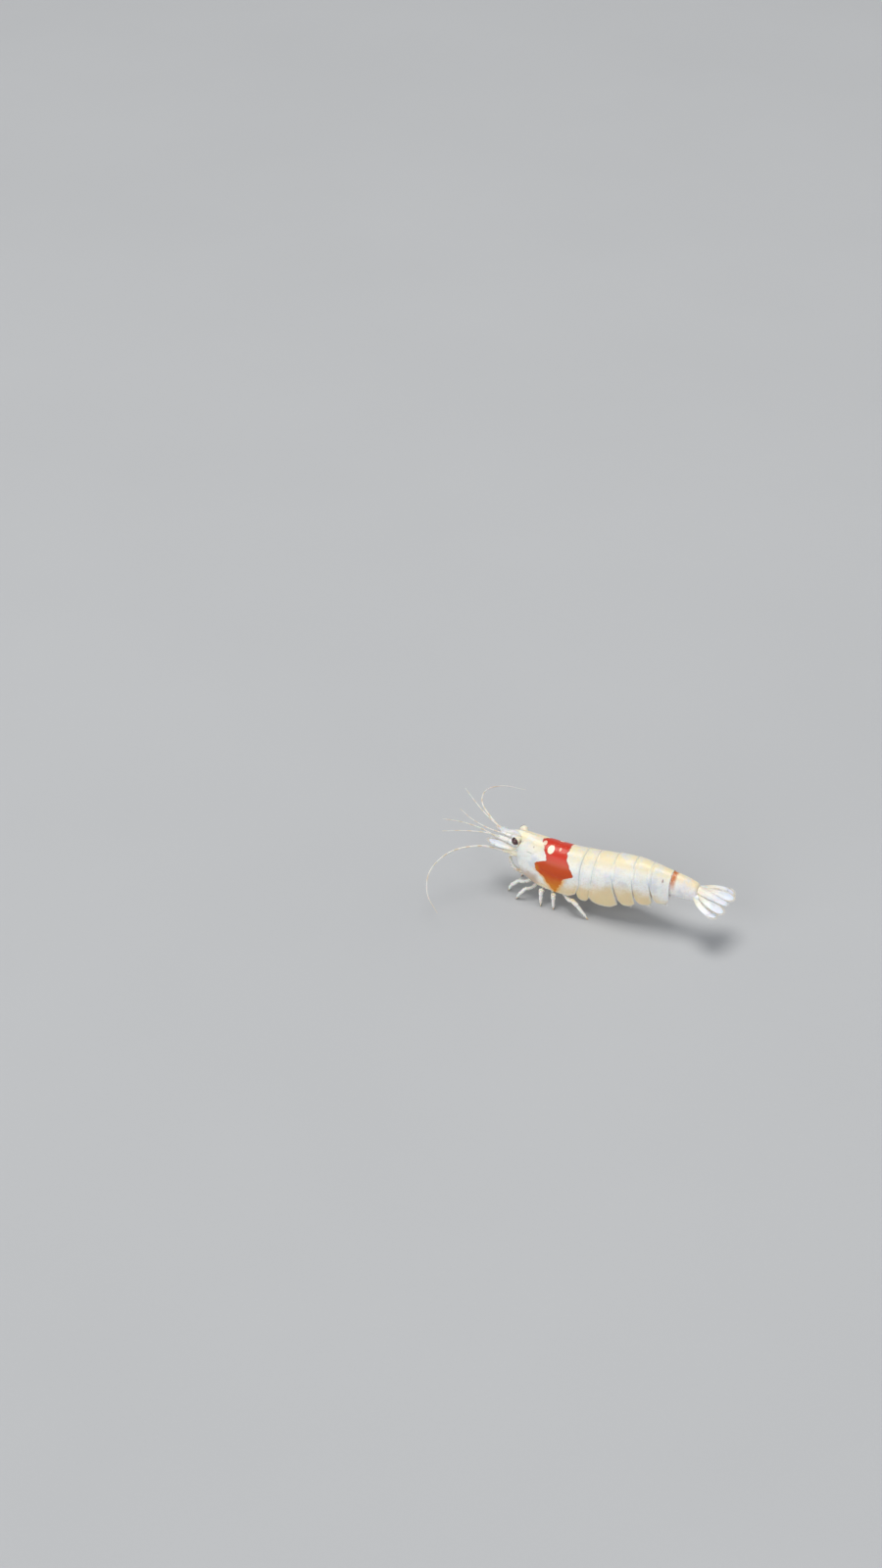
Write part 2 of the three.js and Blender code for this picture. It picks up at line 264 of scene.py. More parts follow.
def makePair(name, build, finish, region="head", turn=None):
    # build(side, shape, hair) makes the left piece; the right one is the mirror image of build(-1)
    for side, word in ((1, "left"), (-1, "right")):
        shape, hair = newShape(), newShape()
        build(side, shape, hair)
        for part in (shape, hair):
            if side < 0:
                mirror(part)
            if turn:
                move(part, turn)
        makePiece(f"{name}_{word}", shape, finish, [f"{name}_{word}"])
        merge(hairsOf(region), hair)


# Finishes

def tint(red, green, blue):
    # a screen colour as the shader wants it; its darkest tones are on a straight line
    screen = (red, green, blue)
    return (*(((c / 255 + 0.055) / 1.055) ** 2.4 if c > 10 else c / 3295 for c in screen), 1)


def addNode(tree, kind, values, output=0, **settings):
    # a shader node fed with values or with the outputs of others; gives back one of its outputs
    made = tree.nodes.new("ShaderNode" + kind)
    for key, value in settings.items():
        setattr(made, key, value)
    for key, value in values.items():
        if isinstance(value, bpy.types.NodeSocket):
            tree.links.new(value, made.inputs[key])
        else:
            made.inputs[key].default_value = value
    return made.outputs[output]


class Finish:
    # a material of one surface shader, with patterns laid out in millimetres in the animal's axes

    def __init__(self, name, **constants):
        self.material = bpy.data.materials.new(name)
        self.material.use_nodes = True
        self.tree = self.material.node_tree
        self.surface = self.tree.nodes["Principled BSDF"]
        for key, value in constants.items():
            self.surface.inputs[key.replace("_", " ")].default_value = value
        values = {"Scale": (1 / mm,) * 3, "Location": tuple(-c / mm for c in origin)}
        self.place = self.node("Mapping", {"Vector": self.node("TexCoord", {}, "Object"), **values})
        self.x, self.y, self.z = self.split(self.place)

    def node(self, kind, values, output=0, **settings):
        return addNode(self.tree, kind, values, output, **settings)

    def split(self, vector):
        return self.node("SeparateXYZ", {0: vector}).node.outputs

    def maths(self, operation, a, b, c=0.0):
        return self.node("Math", {0: a, 1: b, 2: c}, operation=operation)

    def times(self, a, b):
        return self.maths("MULTIPLY", a, b)

    def plus(self, a, share, b):
        # a weighted by share, added to b
        return self.maths("MULTIPLY_ADD", a, share, b)

    def fade(self, value, start, end):
        # 0 at start and 1 at end, smooth between them
        values = {"Value": value, "From Min": start, "From Max": end}
        return self.node("MapRange", values, interpolation_type="SMOOTHSTEP")

    def both(self, one, other):
        # two fades at once, each of a value, its start and its end
        return self.times(self.fade(*one), self.fade(*other))

    def blend(self, share, a, b):
        return self.node("Mix", {0: share, 6: a, 7: b}, output=2, data_type="RGBA")

    def over(self, colour, coat, share, strength):
        return self.blend(self.times(share, strength), colour, coat)

    def clouds(self, scale, detail=3.0, place=None):
        values = {"Vector": place or self.place, "Scale": scale, "Detail": detail, "Roughness": 0.55}
        return self.node("TexNoise", values)

    def cells(self, scale, **settings):
        return self.node("TexVoronoi", {"Vector": self.place, "Scale": scale}, **settings)

    def near(self, centre, size):
        # distance from a centre as a share of a size along each axis
        away = self.node("VectorMath", {0: self.place, 1: centre}, operation="SUBTRACT")
        scaled = self.node("VectorMath", {0: away, 1: size}, operation="DIVIDE")
        return self.node("VectorMath", {0: scaled}, output="Value", operation="LENGTH")

    def curve(self, value, stations, low=-8.0, high=8.0):
        # a free curve through pairs of place and value, all between low and high
        share = self.node("MapRange", {"Value": value, "From Min": low, "From Max": high})
        made = self.tree.nodes.new("ShaderNodeFloatCurve")
        line = made.mapping.curves[0]
        spots = [((at - low) / (high - low), (to - low) / (high - low)) for at, to in stations]
        line.points[0].location, line.points[1].location = spots[0], spots[-1]
        for spot in spots[1:-1]:
            line.points.new(*spot)
        made.mapping.update()
        self.tree.links.new(share, made.inputs["Value"])
        return self.node("MapRange", {"Value": made.outputs[0], "To Min": low, "To Max": high})

    def finish(self, colour, roughness, bump, depth):
        # depth is that of the relief, in millimetres
        self.tree.links.new(colour, self.surface.inputs["Base Color"])
        self.tree.links.new(roughness, self.surface.inputs["Roughness"])
        normal = self.node("Bump", {"Height": bump, "Distance": depth * mm})
        self.tree.links.new(normal, self.surface.inputs["Normal"])
        return self.material

    def between(self, value, low, high):
        return self.node("MapRange", {"Value": value, "To Min": low, "To Max": high})

    def laid(self):
        # shares from the midline to the margin and along the piece, from its own map
        return self.split(self.node("UVMap", {}, uv_map="lay"))[:2]


# The orange-red saddle seen from the side: pairs of height and place along the body
saddle = {
    "front": [(1.7, -2.6), (2.3, -3.15), (3.3, -3.95), (3.7, -4.6), (4.1, -4.75), (4.5, -4.62),
              (4.8, -4.1), (5.05, -3.62), (5.7, -3.95), (6.0, -4.25), (6.3, -4.7)],
    "rear": [(1.7, -2.5), (2.8, -2.0), (3.5, -1.65), (3.85, -1.1), (4.1, -0.78), (4.8, -1.1),
             (5.2, -1.42), (5.8, -1.68), (6.3, -1.8)],
    "edge": 0.07,  # softness of its outline
    # white spots in it: place, size and strength
    "spots": [((0.82, -3.42, 5.84), (0.5, 0.33, 0.42), 1), ((0.35, -4.2, 6.12), (0.3, 0.18, 0.3), 0.7),
              ((0.6, -2.55, 5.98), (0.22, 0.12, 0.2), 0.5), ((-0.9, -2.9, 5.8), (0.3, 0.22, 0.3), 0.85)],
    # faint marks on the cheek: place, size, strength and colour; the two grey ones are painted shade lines,
    # dark where folds and edges of the shell would shade it, the third a brown speck
    "marks": [((1.33, -5.45, 5.22), (0.3, 0.44, 0.055), 0.5, "shadeLine"),
              ((0.87, -6.28, 5.95), (0.2, 0.045, 0.17), 0.5, "shadeLine"),
              ((1.02, -5.09, 5.77), (0.2, 0.07, 0.09), 0.5, "speck")],
    "pale": tint(252, 244, 216),
    "coral": tint(210, 50, 24),
    "flame": tint(203, 73, 8),
    "amber": tint(214, 132, 18),
    "rim": tint(132, 46, 40),
    "glow": tint(238, 180, 104),  # soft yellow beside its lower end
}

shellLook = {
    "white": tint(246, 244, 240),
    "pearl": tint(226, 228, 233),
    "cream": tint(229, 203, 150),
    "window": tint(226, 211, 184),  # where the white lets the flesh show
    "ridge": tint(244, 222, 166),
    "haze": tint(178, 156, 134),  # the thin front of the flank, where legs and gills show through
    "blue": tint(218, 224, 241),
    "butter": tint(250, 233, 194),
    "speck": tint(128, 66, 58),
    # grey for the painted shade lines on the cheek
    "shadeLine": tint(150, 148, 146),
    "stripe": tint(201, 112, 52),
    "clear": tint(205, 207, 210),  # thin margins, more see-through than the rest
    # for each region: the cream's upper limit as pairs of place and height, how strong it is, how warm the
    # back is, and where the clear margin starts, as shares across and along a plate
    "carapace": ([(-7, 2.2), (-4, 2.5), (-2, 2.9), (0, 3.4)], 0.8, 0.72, 0.955, 0.965),
    "abdomen": ([(-1, 3.2), (0.9, 3.6), (2.8, 4.05), (4.7, 4.35), (6.2, 4.2), (7.4, 3.8), (8.6, 3.2),
                 (12, 3.2)], 0.85, 0.72, 0.955, 0.93),
    "leaf": ([(-8, 1), (8, 1)], 0, 0, 0.82, 0.9),
}


def shellFinish(name, region):
    look = shellLook
    f = Finish(name, Subsurface_Weight=0.2, Subsurface_Scale=0.4 * mm, Coat_Weight=0.18,
               Coat_Roughness=0.12, Specular_IOR_Level=0.36, IOR=1.5)
    broad, fine = f.clouds(0.9), f.clouds(9.0, 5.0)
    cell = f.cells(7.5, feature="SMOOTH_F1")
    # cloudy porcelain white, with fine windows between the pigment cells
    colour = f.blend(f.fade(broad, 0.42, 0.66), look["white"], look["pearl"])
    windows = f.both((cell, 0.3, 0.62), (fine, 0.42, 0.62))
    colour = f.over(colour, look["window"], windows, 0.38)
    if region in look:
        colour = paintPlate(f, colour, broad, fine, *look[region])
    if region == "carapace":
        colour = paintSaddle(f, colour, broad, fine)
    if region == "head":
        # cream low down on the bases of the feelers, warm on top
        colour = f.over(colour, look["butter"], f.fade(f.z, 5.0, 4.5), 0.65)
        colour = f.over(colour, look["butter"], f.fade(f.z, 5.6, 6.1), 0.6)
    if region == "leaf":
        # cream at the root, cooler white towards the end
        along = f.laid()[1]
        colour = f.over(colour, look["ridge"], f.fade(along, 0.6, 0), 0.5)
        colour = f.over(colour, look["blue"], f.fade(along, 0.4, 0.95), 0.7)
    if region == "abdomen":
        bent = f.plus(fine, 0.5, f.y)
        stripe = f.both((bent, 8.78, 8.92), (bent, 9.45, 9.15))
        high = f.both((f.z, 4.5, 6.1), (fine, 0.25, 0.5))
        colour = f.over(colour, look["stripe"], stripe, high)
        tick = f.near((1.0, 7.9, 5.7), (0.3, 0.06, 0.18))
        colour = f.over(colour, look["speck"], f.fade(tick, 1.3, 0.6), 0.8)
    # scattered small brown pigment stars
    star = f.both((f.cells(1.7), 0.07, 0.035), (broad, 0.5, 0.56))
    colour = f.over(colour, look["speck"], star, 0.55)
    bump = f.plus(cell, 0.5, fine)
    return f.finish(colour, f.between(fine, 0.28, 0.46), bump, 0.012)


def paintPlate(f, colour, broad, fine, waterline, strength, warmth, edgeAcross, edgeAlong):
    # a warm tinge along the back, cream low on the flanks below a wavering line, and clear margins
    across, along = f.laid()
    warm = f.both((across, 0.42, 0.1), (broad, 0.8, 0.4))
    colour = f.over(colour, shellLook["ridge"], warm, warmth)
    waver = f.plus(broad, 1.8, f.plus(fine, 0.9, -1.35))
    depth = f.maths("SUBTRACT", f.maths("ADD", f.curve(f.y, waterline, -8, 12), waver), f.z)
    sunk = f.times(f.fade(depth, -0.75, 1.0), strength)
    colour = f.blend(sunk, colour, shellLook["cream"])
    margin = f.maths("MAXIMUM", f.fade(across, edgeAcross, 1), f.fade(along, edgeAlong, 1))
    return f.over(colour, shellLook["clear"], margin, 0.55)


def paintSaddle(f, colour, broad, fine):
    look = saddle
    bent = f.plus(f.maths("SUBTRACT", f.clouds(2.6, 4.0), 0.5), 0.5, f.y)
    inFront = f.maths("SUBTRACT", bent, f.curve(f.z, look["front"]))
    behind = f.maths("SUBTRACT", f.curve(f.z, look["rear"]), bent)
    margin = f.maths("MINIMUM", inFront, behind)
    red = f.blend(f.fade(f.z, 4.6, 5.6), look["flame"], look["coral"])
    low = f.plus(broad, 1.6, f.z)
    red = f.over(red, look["amber"], f.fade(low, 4.5, 2.9), 0.95)
    point = f.near((1.7, -4.75, 3.9), (1.0, 0.6, 0.6))
    red = f.over(red, look["amber"], f.fade(point, 1.3, 0.3), 0.65)
    flecks = f.both((fine, 0.6, 0.68), (f.z, 5.3, 6.1))
    red = f.over(red, shellLook["ridge"], flecks, 0.4)
    rim = f.both((margin, 0.22, 0.02), (f.z, 3.4, 4.6))
    red = f.over(red, look["rim"], rim, 0.3)
    sunk = f.both((low, 4.2, 3.3), (f.y, -4.1, -4.8))
    colour = f.over(colour, shellLook["haze"], sunk, 0.75)
    halo = f.both((margin, -0.5, 0), (f.z, 4.0, 3.2))
    colour = f.over(colour, look["glow"], halo, 0.95)
    colour = f.blend(f.fade(margin, -look["edge"], look["edge"]), colour, red)
    for centre, size, strength in look["spots"]:
        spot = f.plus(fine, 0.35, f.near(centre, size))
        colour = f.over(colour, look["pale"], f.fade(spot, 1.25, 1.08), strength)
    # the grey marks are painted shade lines; the speck is brown pigment
    for centre, size, strength, dark in look["marks"]:
        mark = f.plus(fine, 1.6, f.near(centre, size))
        colour = f.over(colour, shellLook[dark], f.fade(mark, 2.0, 1.3), strength)
    return colour


limbLook = {
    "white": tint(246, 244, 238),
    "cream": tint(230, 213, 178),
    "amber": tint(220, 190, 140),
    "rust": tint(178, 106, 72),
    "whiteFrom": 0.32,  # the shins carry white patches between these heights
    "whiteTo": 1.6,
}


def limbFinish():
    look = limbLook
    f = Finish("limbShell", Subsurface_Weight=0.3, Subsurface_Scale=0.3 * mm, Coat_Weight=0.2,
               Coat_Roughness=0.15, IOR=1.5)
    broad, fine = f.clouds(1.3), f.clouds(12.0, 4.0)
    colour = f.blend(f.fade(broad, 0.4, 0.58), look["cream"], look["white"])
    low, high = look["whiteFrom"], look["whiteTo"]
    wavy = f.plus(fine, 0.4, f.z)
    colour = f.blend(f.fade(wavy, low + 0.3, low - 0.05), colour, look["amber"])
    shin = f.both((wavy, low, low + 0.4), (wavy, high + 0.45, high))
    colour = f.over(colour, look["white"], shin, 0.85)
    dots = f.both((f.cells(4.5), 0.15, 0.06), (broad, 0.52, 0.4))
    colour = f.over(colour, look["rust"], dots, 0.35)
    colour = f.over(colour, look["cream"], f.fade(fine, 0.5, 0.75), 0.35)
    return f.finish(colour, f.between(fine, 0.3, 0.5), fine, 0.015)


feelerLook = {"pale": tint(240, 236, 226), "band": tint(226, 210, 184), "every": 1.15}


def feelerFinish():
    look = feelerLook
    f = Finish("feelerRings", Subsurface_Weight=0.2, Subsurface_Scale=0.15 * mm, IOR=1.5)
    fine = f.clouds(14.0, 4.0)
    away = f.near((0, -7, 4.9), (look["every"],) * 3)
    band = f.maths("PINGPONG", f.plus(fine, 0.3, away), 0.5)
    colour = f.blend(f.fade(band, 0.22, 0.44), look["pale"], look["band"])
    colour = f.over(colour, look["band"], f.fade(fine, 0.5, 0.7), 0.3)
    return f.finish(colour, f.between(fine, 0.3, 0.5), fine, 0.01)


eyeLook = {"dark": tint(52, 24, 32), "brown": tint(112, 62, 60), "facets": 20.0}


def eyeFinish():
    look = eyeLook
    f = Finish("eyeFacets", Coat_Weight=0.8, Coat_Roughness=0.06, IOR=1.45)
    facet = f.cells(look["facets"])
    glow = f.clouds(2.4)
    colour = f.blend(f.fade(glow, 0.42, 0.7), look["dark"], look["brown"])
    colour = f.over(colour, look["dark"], f.fade(facet, 0.1, 0.6), 0.7)
    return f.finish(colour, f.between(glow, 0.14, 0.26), facet, 0.006)


fleshLook = {"cream": tint(240, 230, 204), "rose": tint(230, 208, 178), "white": tint(245, 240, 228)}


def fleshFinish():
    look = fleshLook
    f = Finish("softFlesh", Subsurface_Weight=0.35, Subsurface_Scale=0.5 * mm, IOR=1.4)
    broad = f.clouds(1.2)
    drawn = f.node("Mapping", {"Vector": f.place, "Scale": (9.0, 2.0, 5.0)})
    fibres = f.clouds(1.0, 4.0, drawn)
    colour = f.blend(f.fade(broad, 0.4, 0.65), look["cream"], look["rose"])
    colour = f.blend(f.fade(fibres, 0.45, 0.7), colour, look["white"])
    return f.finish(colour, f.between(fibres, 0.4, 0.6), fibres, 0.03)


hairLook = {"pale": tint(247, 244, 237), "amber": tint(238, 226, 204)}


def hairFinish():
    f = Finish("fineHair", IOR=1.5)
    broad, fine = f.clouds(1.5), f.clouds(20.0)
    colour = f.blend(f.fade(broad, 0.35, 0.7), hairLook["pale"], hairLook["amber"])
    return f.finish(colour, f.between(fine, 0.35, 0.55), fine, 0.004)


finishes = {
    "carapace": shellFinish("saddledShell", "carapace"),
    "abdomen": shellFinish("abdomenShell", "abdomen"),
    "head": shellFinish("headShell", "head"),
    "leaf": shellFinish("leafShell", "leaf"),
    "limb": limbFinish(),
    "feeler": feelerFinish(),
    "eye": eyeFinish(),
    "flesh": fleshFinish(),
    "hair": hairFinish(),
}
print("finishes mixed")


# The trunk: a ridge line, a width, and flanks that hang down to a hem

trunk = {
    "ridge": [(-7.6, 6.34), (-6.9, 6.46), (-5.5, 6.33), (-4.4, 6.17), (-2.4, 6.04), (-0.4, 6.1),
              (1.6, 6.33), (3.5, 6.6), (4.8, 6.71), (5.8, 6.69), (7.7, 6.4), (9.8, 6.08), (11.3, 5.58)],
    "halfWidth": [(-7, 1.1), (-6, 1.4), (-4.5, 1.72), (-2.5, 1.88), (0, 1.88), (2.5, 1.84),
                  (4.5, 1.7), (6, 1.5), (7.5, 1.24), (8.7, 1.02), (10, 0.9), (11.3, 0.78)],
    "widestAt": 0.52,  # share of the height from the hem to the ridge
    "tuckIn": 0.1,  # how much narrower the flanks are at the hem
    "thickness": 0.15,
}
ridge, halfWidth = through(trunk["ridge"]), through(trunk["halfWidth"])


def trunkPoint(q, y, hem, lift):
    # q runs from 0 at the ridge to 1 at the hem, and is negative on the right side
    side, q = (-1 if q < 0 else 1), abs(q)
    width, top = halfWidth(y), ridge(y)
    widest = mix(hem, top, trunk["widestAt"])
    if q <= 0.5:
        across, up = sin(pi * q), cos(pi * q)
        point = Vector((width * across, y, widest + (top - widest) * up))
        normal = Vector((across / width, 0, up / (top - widest))).normalized()
    else:
        down = 2 * q - 1
        point = Vector((width * (1 - trunk["tuckIn"] * down ** 2.2), y, mix(widest, hem, down)))
        normal = Vector((1, 0, -0.1 * down)).normalized()
    point += normal * lift
    point.x *= side
    return point


def addPlate(shape, start, end, hem, relief, rows, columns):
    # a thin shell over the back: start and end give its front and hind edge at a share q down the flank
    outer, inner = [], []
    for i in range(rows + 1):
        v = i / rows
        outer.append([])
        inner.append([])
        for j in range(columns + 1):
            q = 2 * j / columns - 1
            y = mix(start(abs(q)), end(abs(q)), v)
            low = hem(mix(start(1), end(1), v))
            rim = min(ease((1 - abs(q)) * 9), ease(v * 12), ease((1 - v) * 12))
            lift = relief(abs(q), v, y) + 0.01 * noise.noise(Vector((4 * q, 1.2 * y, 3)))
            outer[-1].append(trunkPoint(q, y, low, lift))
            inner[-1].append(trunkPoint(q, y, low, lift - trunk["thickness"] * mix(0.3, 1, rim)))
    addSheet(shape, outer, inner)
    grid = [(abs(2 * j / columns - 1), i / rows) for i in range(rows + 1) for j in range(columns + 1)]
    shape["lay"] = grid + grid


def furrow(q, y, path, width):
    # how deep in a furrow a spot lies: 1 on its line, 0 away from it
    here = Vector((abs(q) * 5.2, y))
    best = 9
    for a, b in pairwise(path):
        a, b = Vector(a), Vector(b)
        t = min(max((here - a).dot(b - a) / (b - a).length_squared, 0), 1)
        best = min(best, (here - a.lerp(b, t)).length)
    return hump(best, 0, width)


carapace = {
    "hem": [(-6.8, 3.3), (-6.2, 2.6), (-5.3, 2.15), (-4.3, 1.8), (-2, 1.6), (-0.6, 1.6), (0.2, 1.75)],
    "front": [(0, -7.5), (0.05, -7.2), (0.11, -6.75), (0.18, -6.5), (0.26, -6.44), (0.34, -6.62),
              (0.41, -6.86), (0.48, -6.72), (0.62, -6.68), (0.85, -6.45), (1, -6.1)],
    "rear": [(0, 0.02), (0.35, -0.1), (0.7, -0.06), (1, -0.45)],
    "hindCorner": 0.5,
    # furrows as pairs of length down from the ridge and place along the body, with width and depth
    "furrows": [
        ([(0.1, -3.9), (1.0, -4.25), (1.6, -4.8), (2.2, -5.4), (2.5, -6.0)], 0.13, 0.035),
        ([(1.75, -5.75), (1.92, -5.16)], 0.05, 0.03),
        ([(2.2, -5.2), (2.9, -4.0), (3.1, -2.2), (3.0, -0.6)], 0.16, 0.03),
    ],
    "rows": 120,
    "columns": 156,
}

rostrum = {
    "top": [(-9.05, 5.93), (-8.4, 6.1), (-7.6, 6.33), (-6.9, 6.45), (-6.2, 6.36)],
    "bottom": [(-9.05, 5.89), (-8.4, 5.86), (-7.6, 5.92), (-6.9, 5.98), (-6.2, 6.0)],
    "thickness": [(-9.05, 0.02), (-8.3, 0.09), (-7.6, 0.17), (-6.9, 0.36), (-6.2, 0.55)],
    "teeth": 17,
    "firstTooth": -5.3,
    "lastTooth": -8.75,
    "toothLength": 0.2,
    "toothHeight": 0.07,
    "rows": 40,
    "around": 20,
}


def makeCarapace():
    shape = newShape()
    hemLine, rear = through(carapace["hem"]), through(carapace["rear"])

    def hem(y):
        return hemLine(y) + carapace["hindCorner"] * max(0, (y + 1.5) / 1.1) ** 2

    def relief(q, v, y):
        lift = 0.05 * hump(q, 0, 0.025) * ease((-4.4 - y) / 1.5)  # the keel behind the rostrum
        for path, width, depth in carapace["furrows"]:
            lift -= depth * furrow(q, y, path, width)
        lift += 0.03 * ease((q - 0.95) / 0.03) - 0.025 * hump(q, 0.925, 0.02)
        lift += 0.035 * ease((v - 0.965) / 0.02) - 0.02 * hump(v, 0.95, 0.012)
        return lift + 0.035 * ease((0.03 - v) / 0.03) * ease((q - 0.14) / 0.08)

    addPlate(shape, through(carapace["front"]), rear, hem, relief, carapace["rows"], carapace["columns"])
    addRostrum(shape)
    for side in (-1, 1):
        addSpine(shape, (1.3 * side, -6.72, 5.02), (1.33 * side, -7.12, 5.06), 0.07)
        addSpine(shape, (1.13 * side, -6.32, 2.9), (1.1 * side, -6.6, 2.82), 0.07)
    makePiece("carapace", shape, "carapace", ["carapace", "rostrum"])


def addRostrum(shape):
    top, bottom, thickness = (through(rostrum[k]) for k in ("top", "bottom", "thickness"))
    rings, tip, root = [], rostrum["top"][0][0], rostrum["top"][-1][0]
    for i in range(rostrum["rows"] + 1):
        y = mix(root, tip, i / rostrum["rows"])
        middle, half = (top(y) + bottom(y)) / 2, (top(y) - bottom(y)) / 2

        def place(up, across):
            keel = 0.35 * hump(up, -0.2, 0.22)  # the rib along each side
            width = thickness(y) * (abs(across) ** 1.6 + keel) * 0.8 * copysign(1, across)
            return Vector((width if abs(across) > 0.01 else 0, y, middle + half * up))

        rings.append(ringOf(rostrum["around"], place))
    addRings(shape, rings)
    for i in range(rostrum["teeth"]):
        y = mix(rostrum["firstTooth"], rostrum["lastTooth"], i / (rostrum["teeth"] - 1))
        height = max(top(y), ridge(y) + 0.03) if y > -6.9 else top(y)
        size = mix(0.7, 1, sin(pi * i / rostrum["teeth"]))
        tip = (0, y - rostrum["toothLength"] * size, height + rostrum["toothHeight"] * size)
        addSpine(shape, (0, y + 0.05, height - 0.05), tip, 0.05 * size)
    for y in (-7.9, -8.2, -8.5):
        addSpine(shape, (0, y, bottom(y) + 0.03), (0, y - 0.16, bottom(y) - 0.05), 0.035)


makeCarapace()
print("carapace and rostrum shaped")


# Five rings with side plates: start on the back and at the hem, and how low the plate hangs
rings = [
    {"back": 0, "hem": -0.25, "low": 1.5, "corner": 0.3},
    {"back": 1.22, "hem": 0.85, "low": 1.5, "corner": 0.6},
    {"back": 3.05, "hem": 3.8, "low": 2.12, "corner": 0.5},
    {"back": 5, "hem": 5.45, "low": 2.6, "corner": 0.5},
    {"back": 6.6, "hem": 7.1, "low": 3.05, "corner": 0.5},
]
sixth = {"start": 8.6, "end": 11.3, "low": (3.62, 3.7), "tuck": 0.3, "rows": 44, "around": 56}
overlap = {"tuck": 0.3, "drop": 0.1, "lip": 0.045, "swell": 0.03, "rows": 44, "columns": 132}


def makeRing(n):
    shape, hair = newShape(), hairsOf("hems")
    here = rings[n - 1]
    after = rings[n] if n < len(rings) else {"back": sixth["start"], "hem": sixth["start"] + 0.02}

    def start(q):
        return mix(here["back"], here["hem"], q * q) - overlap["tuck"]

    def end(q):
        return mix(after["back"], after["hem"], q * q)

    def hem(y):
        share = (y - here["hem"]) / (after["hem"] - here["hem"])
        return here["low"] + here["corner"] * abs(2 * share - 1) ** 3

    def relief(q, v, y):
        length = end(q) - start(q)
        flank = ease((q - 0.5) / 0.15)
        over = flank if n == 2 else 0  # the second plate lies over both its neighbours low down
        under = flank if n == 1 else 0
        drop = mix(overlap["drop"], -0.05, over) * (1 - ease(v * length / (overlap["tuck"] + 0.06)))
        lip = mix(overlap["lip"], -0.05, under) * ease(1 - (1 - v) * length / 0.22)
        crease = 0.03 * hump(v * length, overlap["tuck"] + 0.22, 0.05)
        edge = 0.02 * ease((q - 0.95) / 0.04)
        return lip - drop - crease + edge + overlap["swell"] * sin(pi * v)

    addPlate(shape, start, end, hem, relief, overlap["rows"], overlap["columns"])
    makePiece(f"pleonite_{n}", shape, "abdomen", [f"pleonite_{n}"])
    for side in (-1, 1):
        y = here["hem"] + 0.1
        while y < after["hem"] - 0.1:
            root = trunkPoint(side * 0.99, y, hem(y), 0)
            way = Vector((0, dice.uniform(-0.1, 0.4), -1)).normalized()
            addHair(hair, root, way, dice.uniform(0.07, 0.13), 0.005)
            y += dice.uniform(0.03, 0.06)


def makeSixthRing():
    shape = newShape()
    outline = []
    for i in range(sixth["rows"] + 1):
        v = i / sixth["rows"]
        y = mix(sixth["start"] - sixth["tuck"], sixth["end"], v)
        along = max(0, (y - sixth["start"]) / (sixth["end"] - sixth["start"]))
        top, low = ridge(y), mix(*sixth["low"], along)
        lift = -0.1 * (1 - ease((y - sixth["start"] + sixth["tuck"]) / 0.34))
        rounding = sqrt(1 - 0.94 * max(0, (v - 0.86) / 0.14) ** 2.6)

        def place(up, across):
            lower = 1 - 0.12 * ease(-up)  # a little pinched underneath
            side = (halfWidth(y) * 0.96 + lift) * lower * rounding
            back = 0.22 * ease((v - 0.8) / 0.2) * hump(up, -0.35, 0.25)
            depth = ((top - low) / 2 + lift) * rounding
            return Vector((side * across, y + back, (top + low) / 2 + depth * up))

        outline.append(ringOf(sixth["around"], place))
    addRings(shape, outline)
    for i in range(sixth["rows"] + 1):
        for k in range(sixth["around"]):
            turn = k / sixth["around"]
            shape["lay"].append((min(turn, 1 - turn) * 2, i / sixth["rows"] * 0.9))
    for side in (-1, 1):
        addSpine(shape, (0.56 * side, 11.0, 3.98), (0.62 * side, 11.5, 3.84), 0.09)
    makePiece("pleonite_6", shape, "abdomen", ["pleonite_6"])


for n in range(1, 6):
    makeRing(n)
makeSixthRing()
print("six rings of the abdomen shaped")


# Limbs: jointed tubes, each segment narrow at its near end and swollen a little at its far joint
legProfile = through([(0, 0.6), (0.05, 0.8), (0.16, 0.92), (0.5, 1), (0.82, 0.96), (0.93, 1.05),
                      (0.975, 1), (1, 0.62)])
stemProfile = through([(0, 0.8), (0.08, 0.93), (0.3, 1), (0.7, 0.99), (0.93, 1.03), (0.98, 0.96), (1, 0.7)])


def addSegment(shape, points, start, end, sides, flat=1, beside=None, steps=18, profile=legProfile):
    path = smoothPath(points, steps)
    radii = [mix(start, end, i / steps) * profile(i / steps) for i in range(steps + 1)]
    addTube(shape, path, radii, sides, flat, beside)
    return path


def addDown(hair, path, radius, count, length, width=0.005, lean=0.9, fromShare=0.1):
    # scattered setae along a segment, leaning towards its tip
    for _ in range(count):
        at = dice.uniform(fromShare, 0.95) * (len(path) - 1)
        i = min(int(at), len(path) - 2)
        way = (path[i + 1] - path[i]).normalized()
        out = crosswise(Vector((dice.gauss(0, 1), dice.gauss(0, 1), dice.gauss(0, 1))), way)
        root = path[i].lerp(path[i + 1], at - i) + out * radius * 0.9
        addHair(hair, root, (out + way * lean).normalized(), length * dice.uniform(0.6, 1.2), width)


# The soft body under the plates, with the underside between the legs and the mouth
flesh = {
    "bottom": [(-7.0, 3.7), (-6.6, 2.95), (-5.9, 2.4), (-5, 2.0), (-4, 1.75), (-1.2, 1.62), (0, 2.2),
               (1, 2.5), (3, 2.75), (4.2, 3.05), (6, 3.55), (7.5, 3.95), (8.6, 4.0), (11.2, 3.95)],
    "under": [(-7.05, 0.1), (-6.6, 0.13), (-5.5, 0.22), (11.2, 0.24)],  # how far it lies inside the plates
    "narrow": [(-7, 0.1), (-5.8, 0.42), (-4.6, 0.6), (-1, 0.62), (0.5, 0.45), (8, 0.35), (11.2, 0.2)],
    "from": -7.05,
    "to": 11.15,
    "rows": 150,
    "around": 56,
}


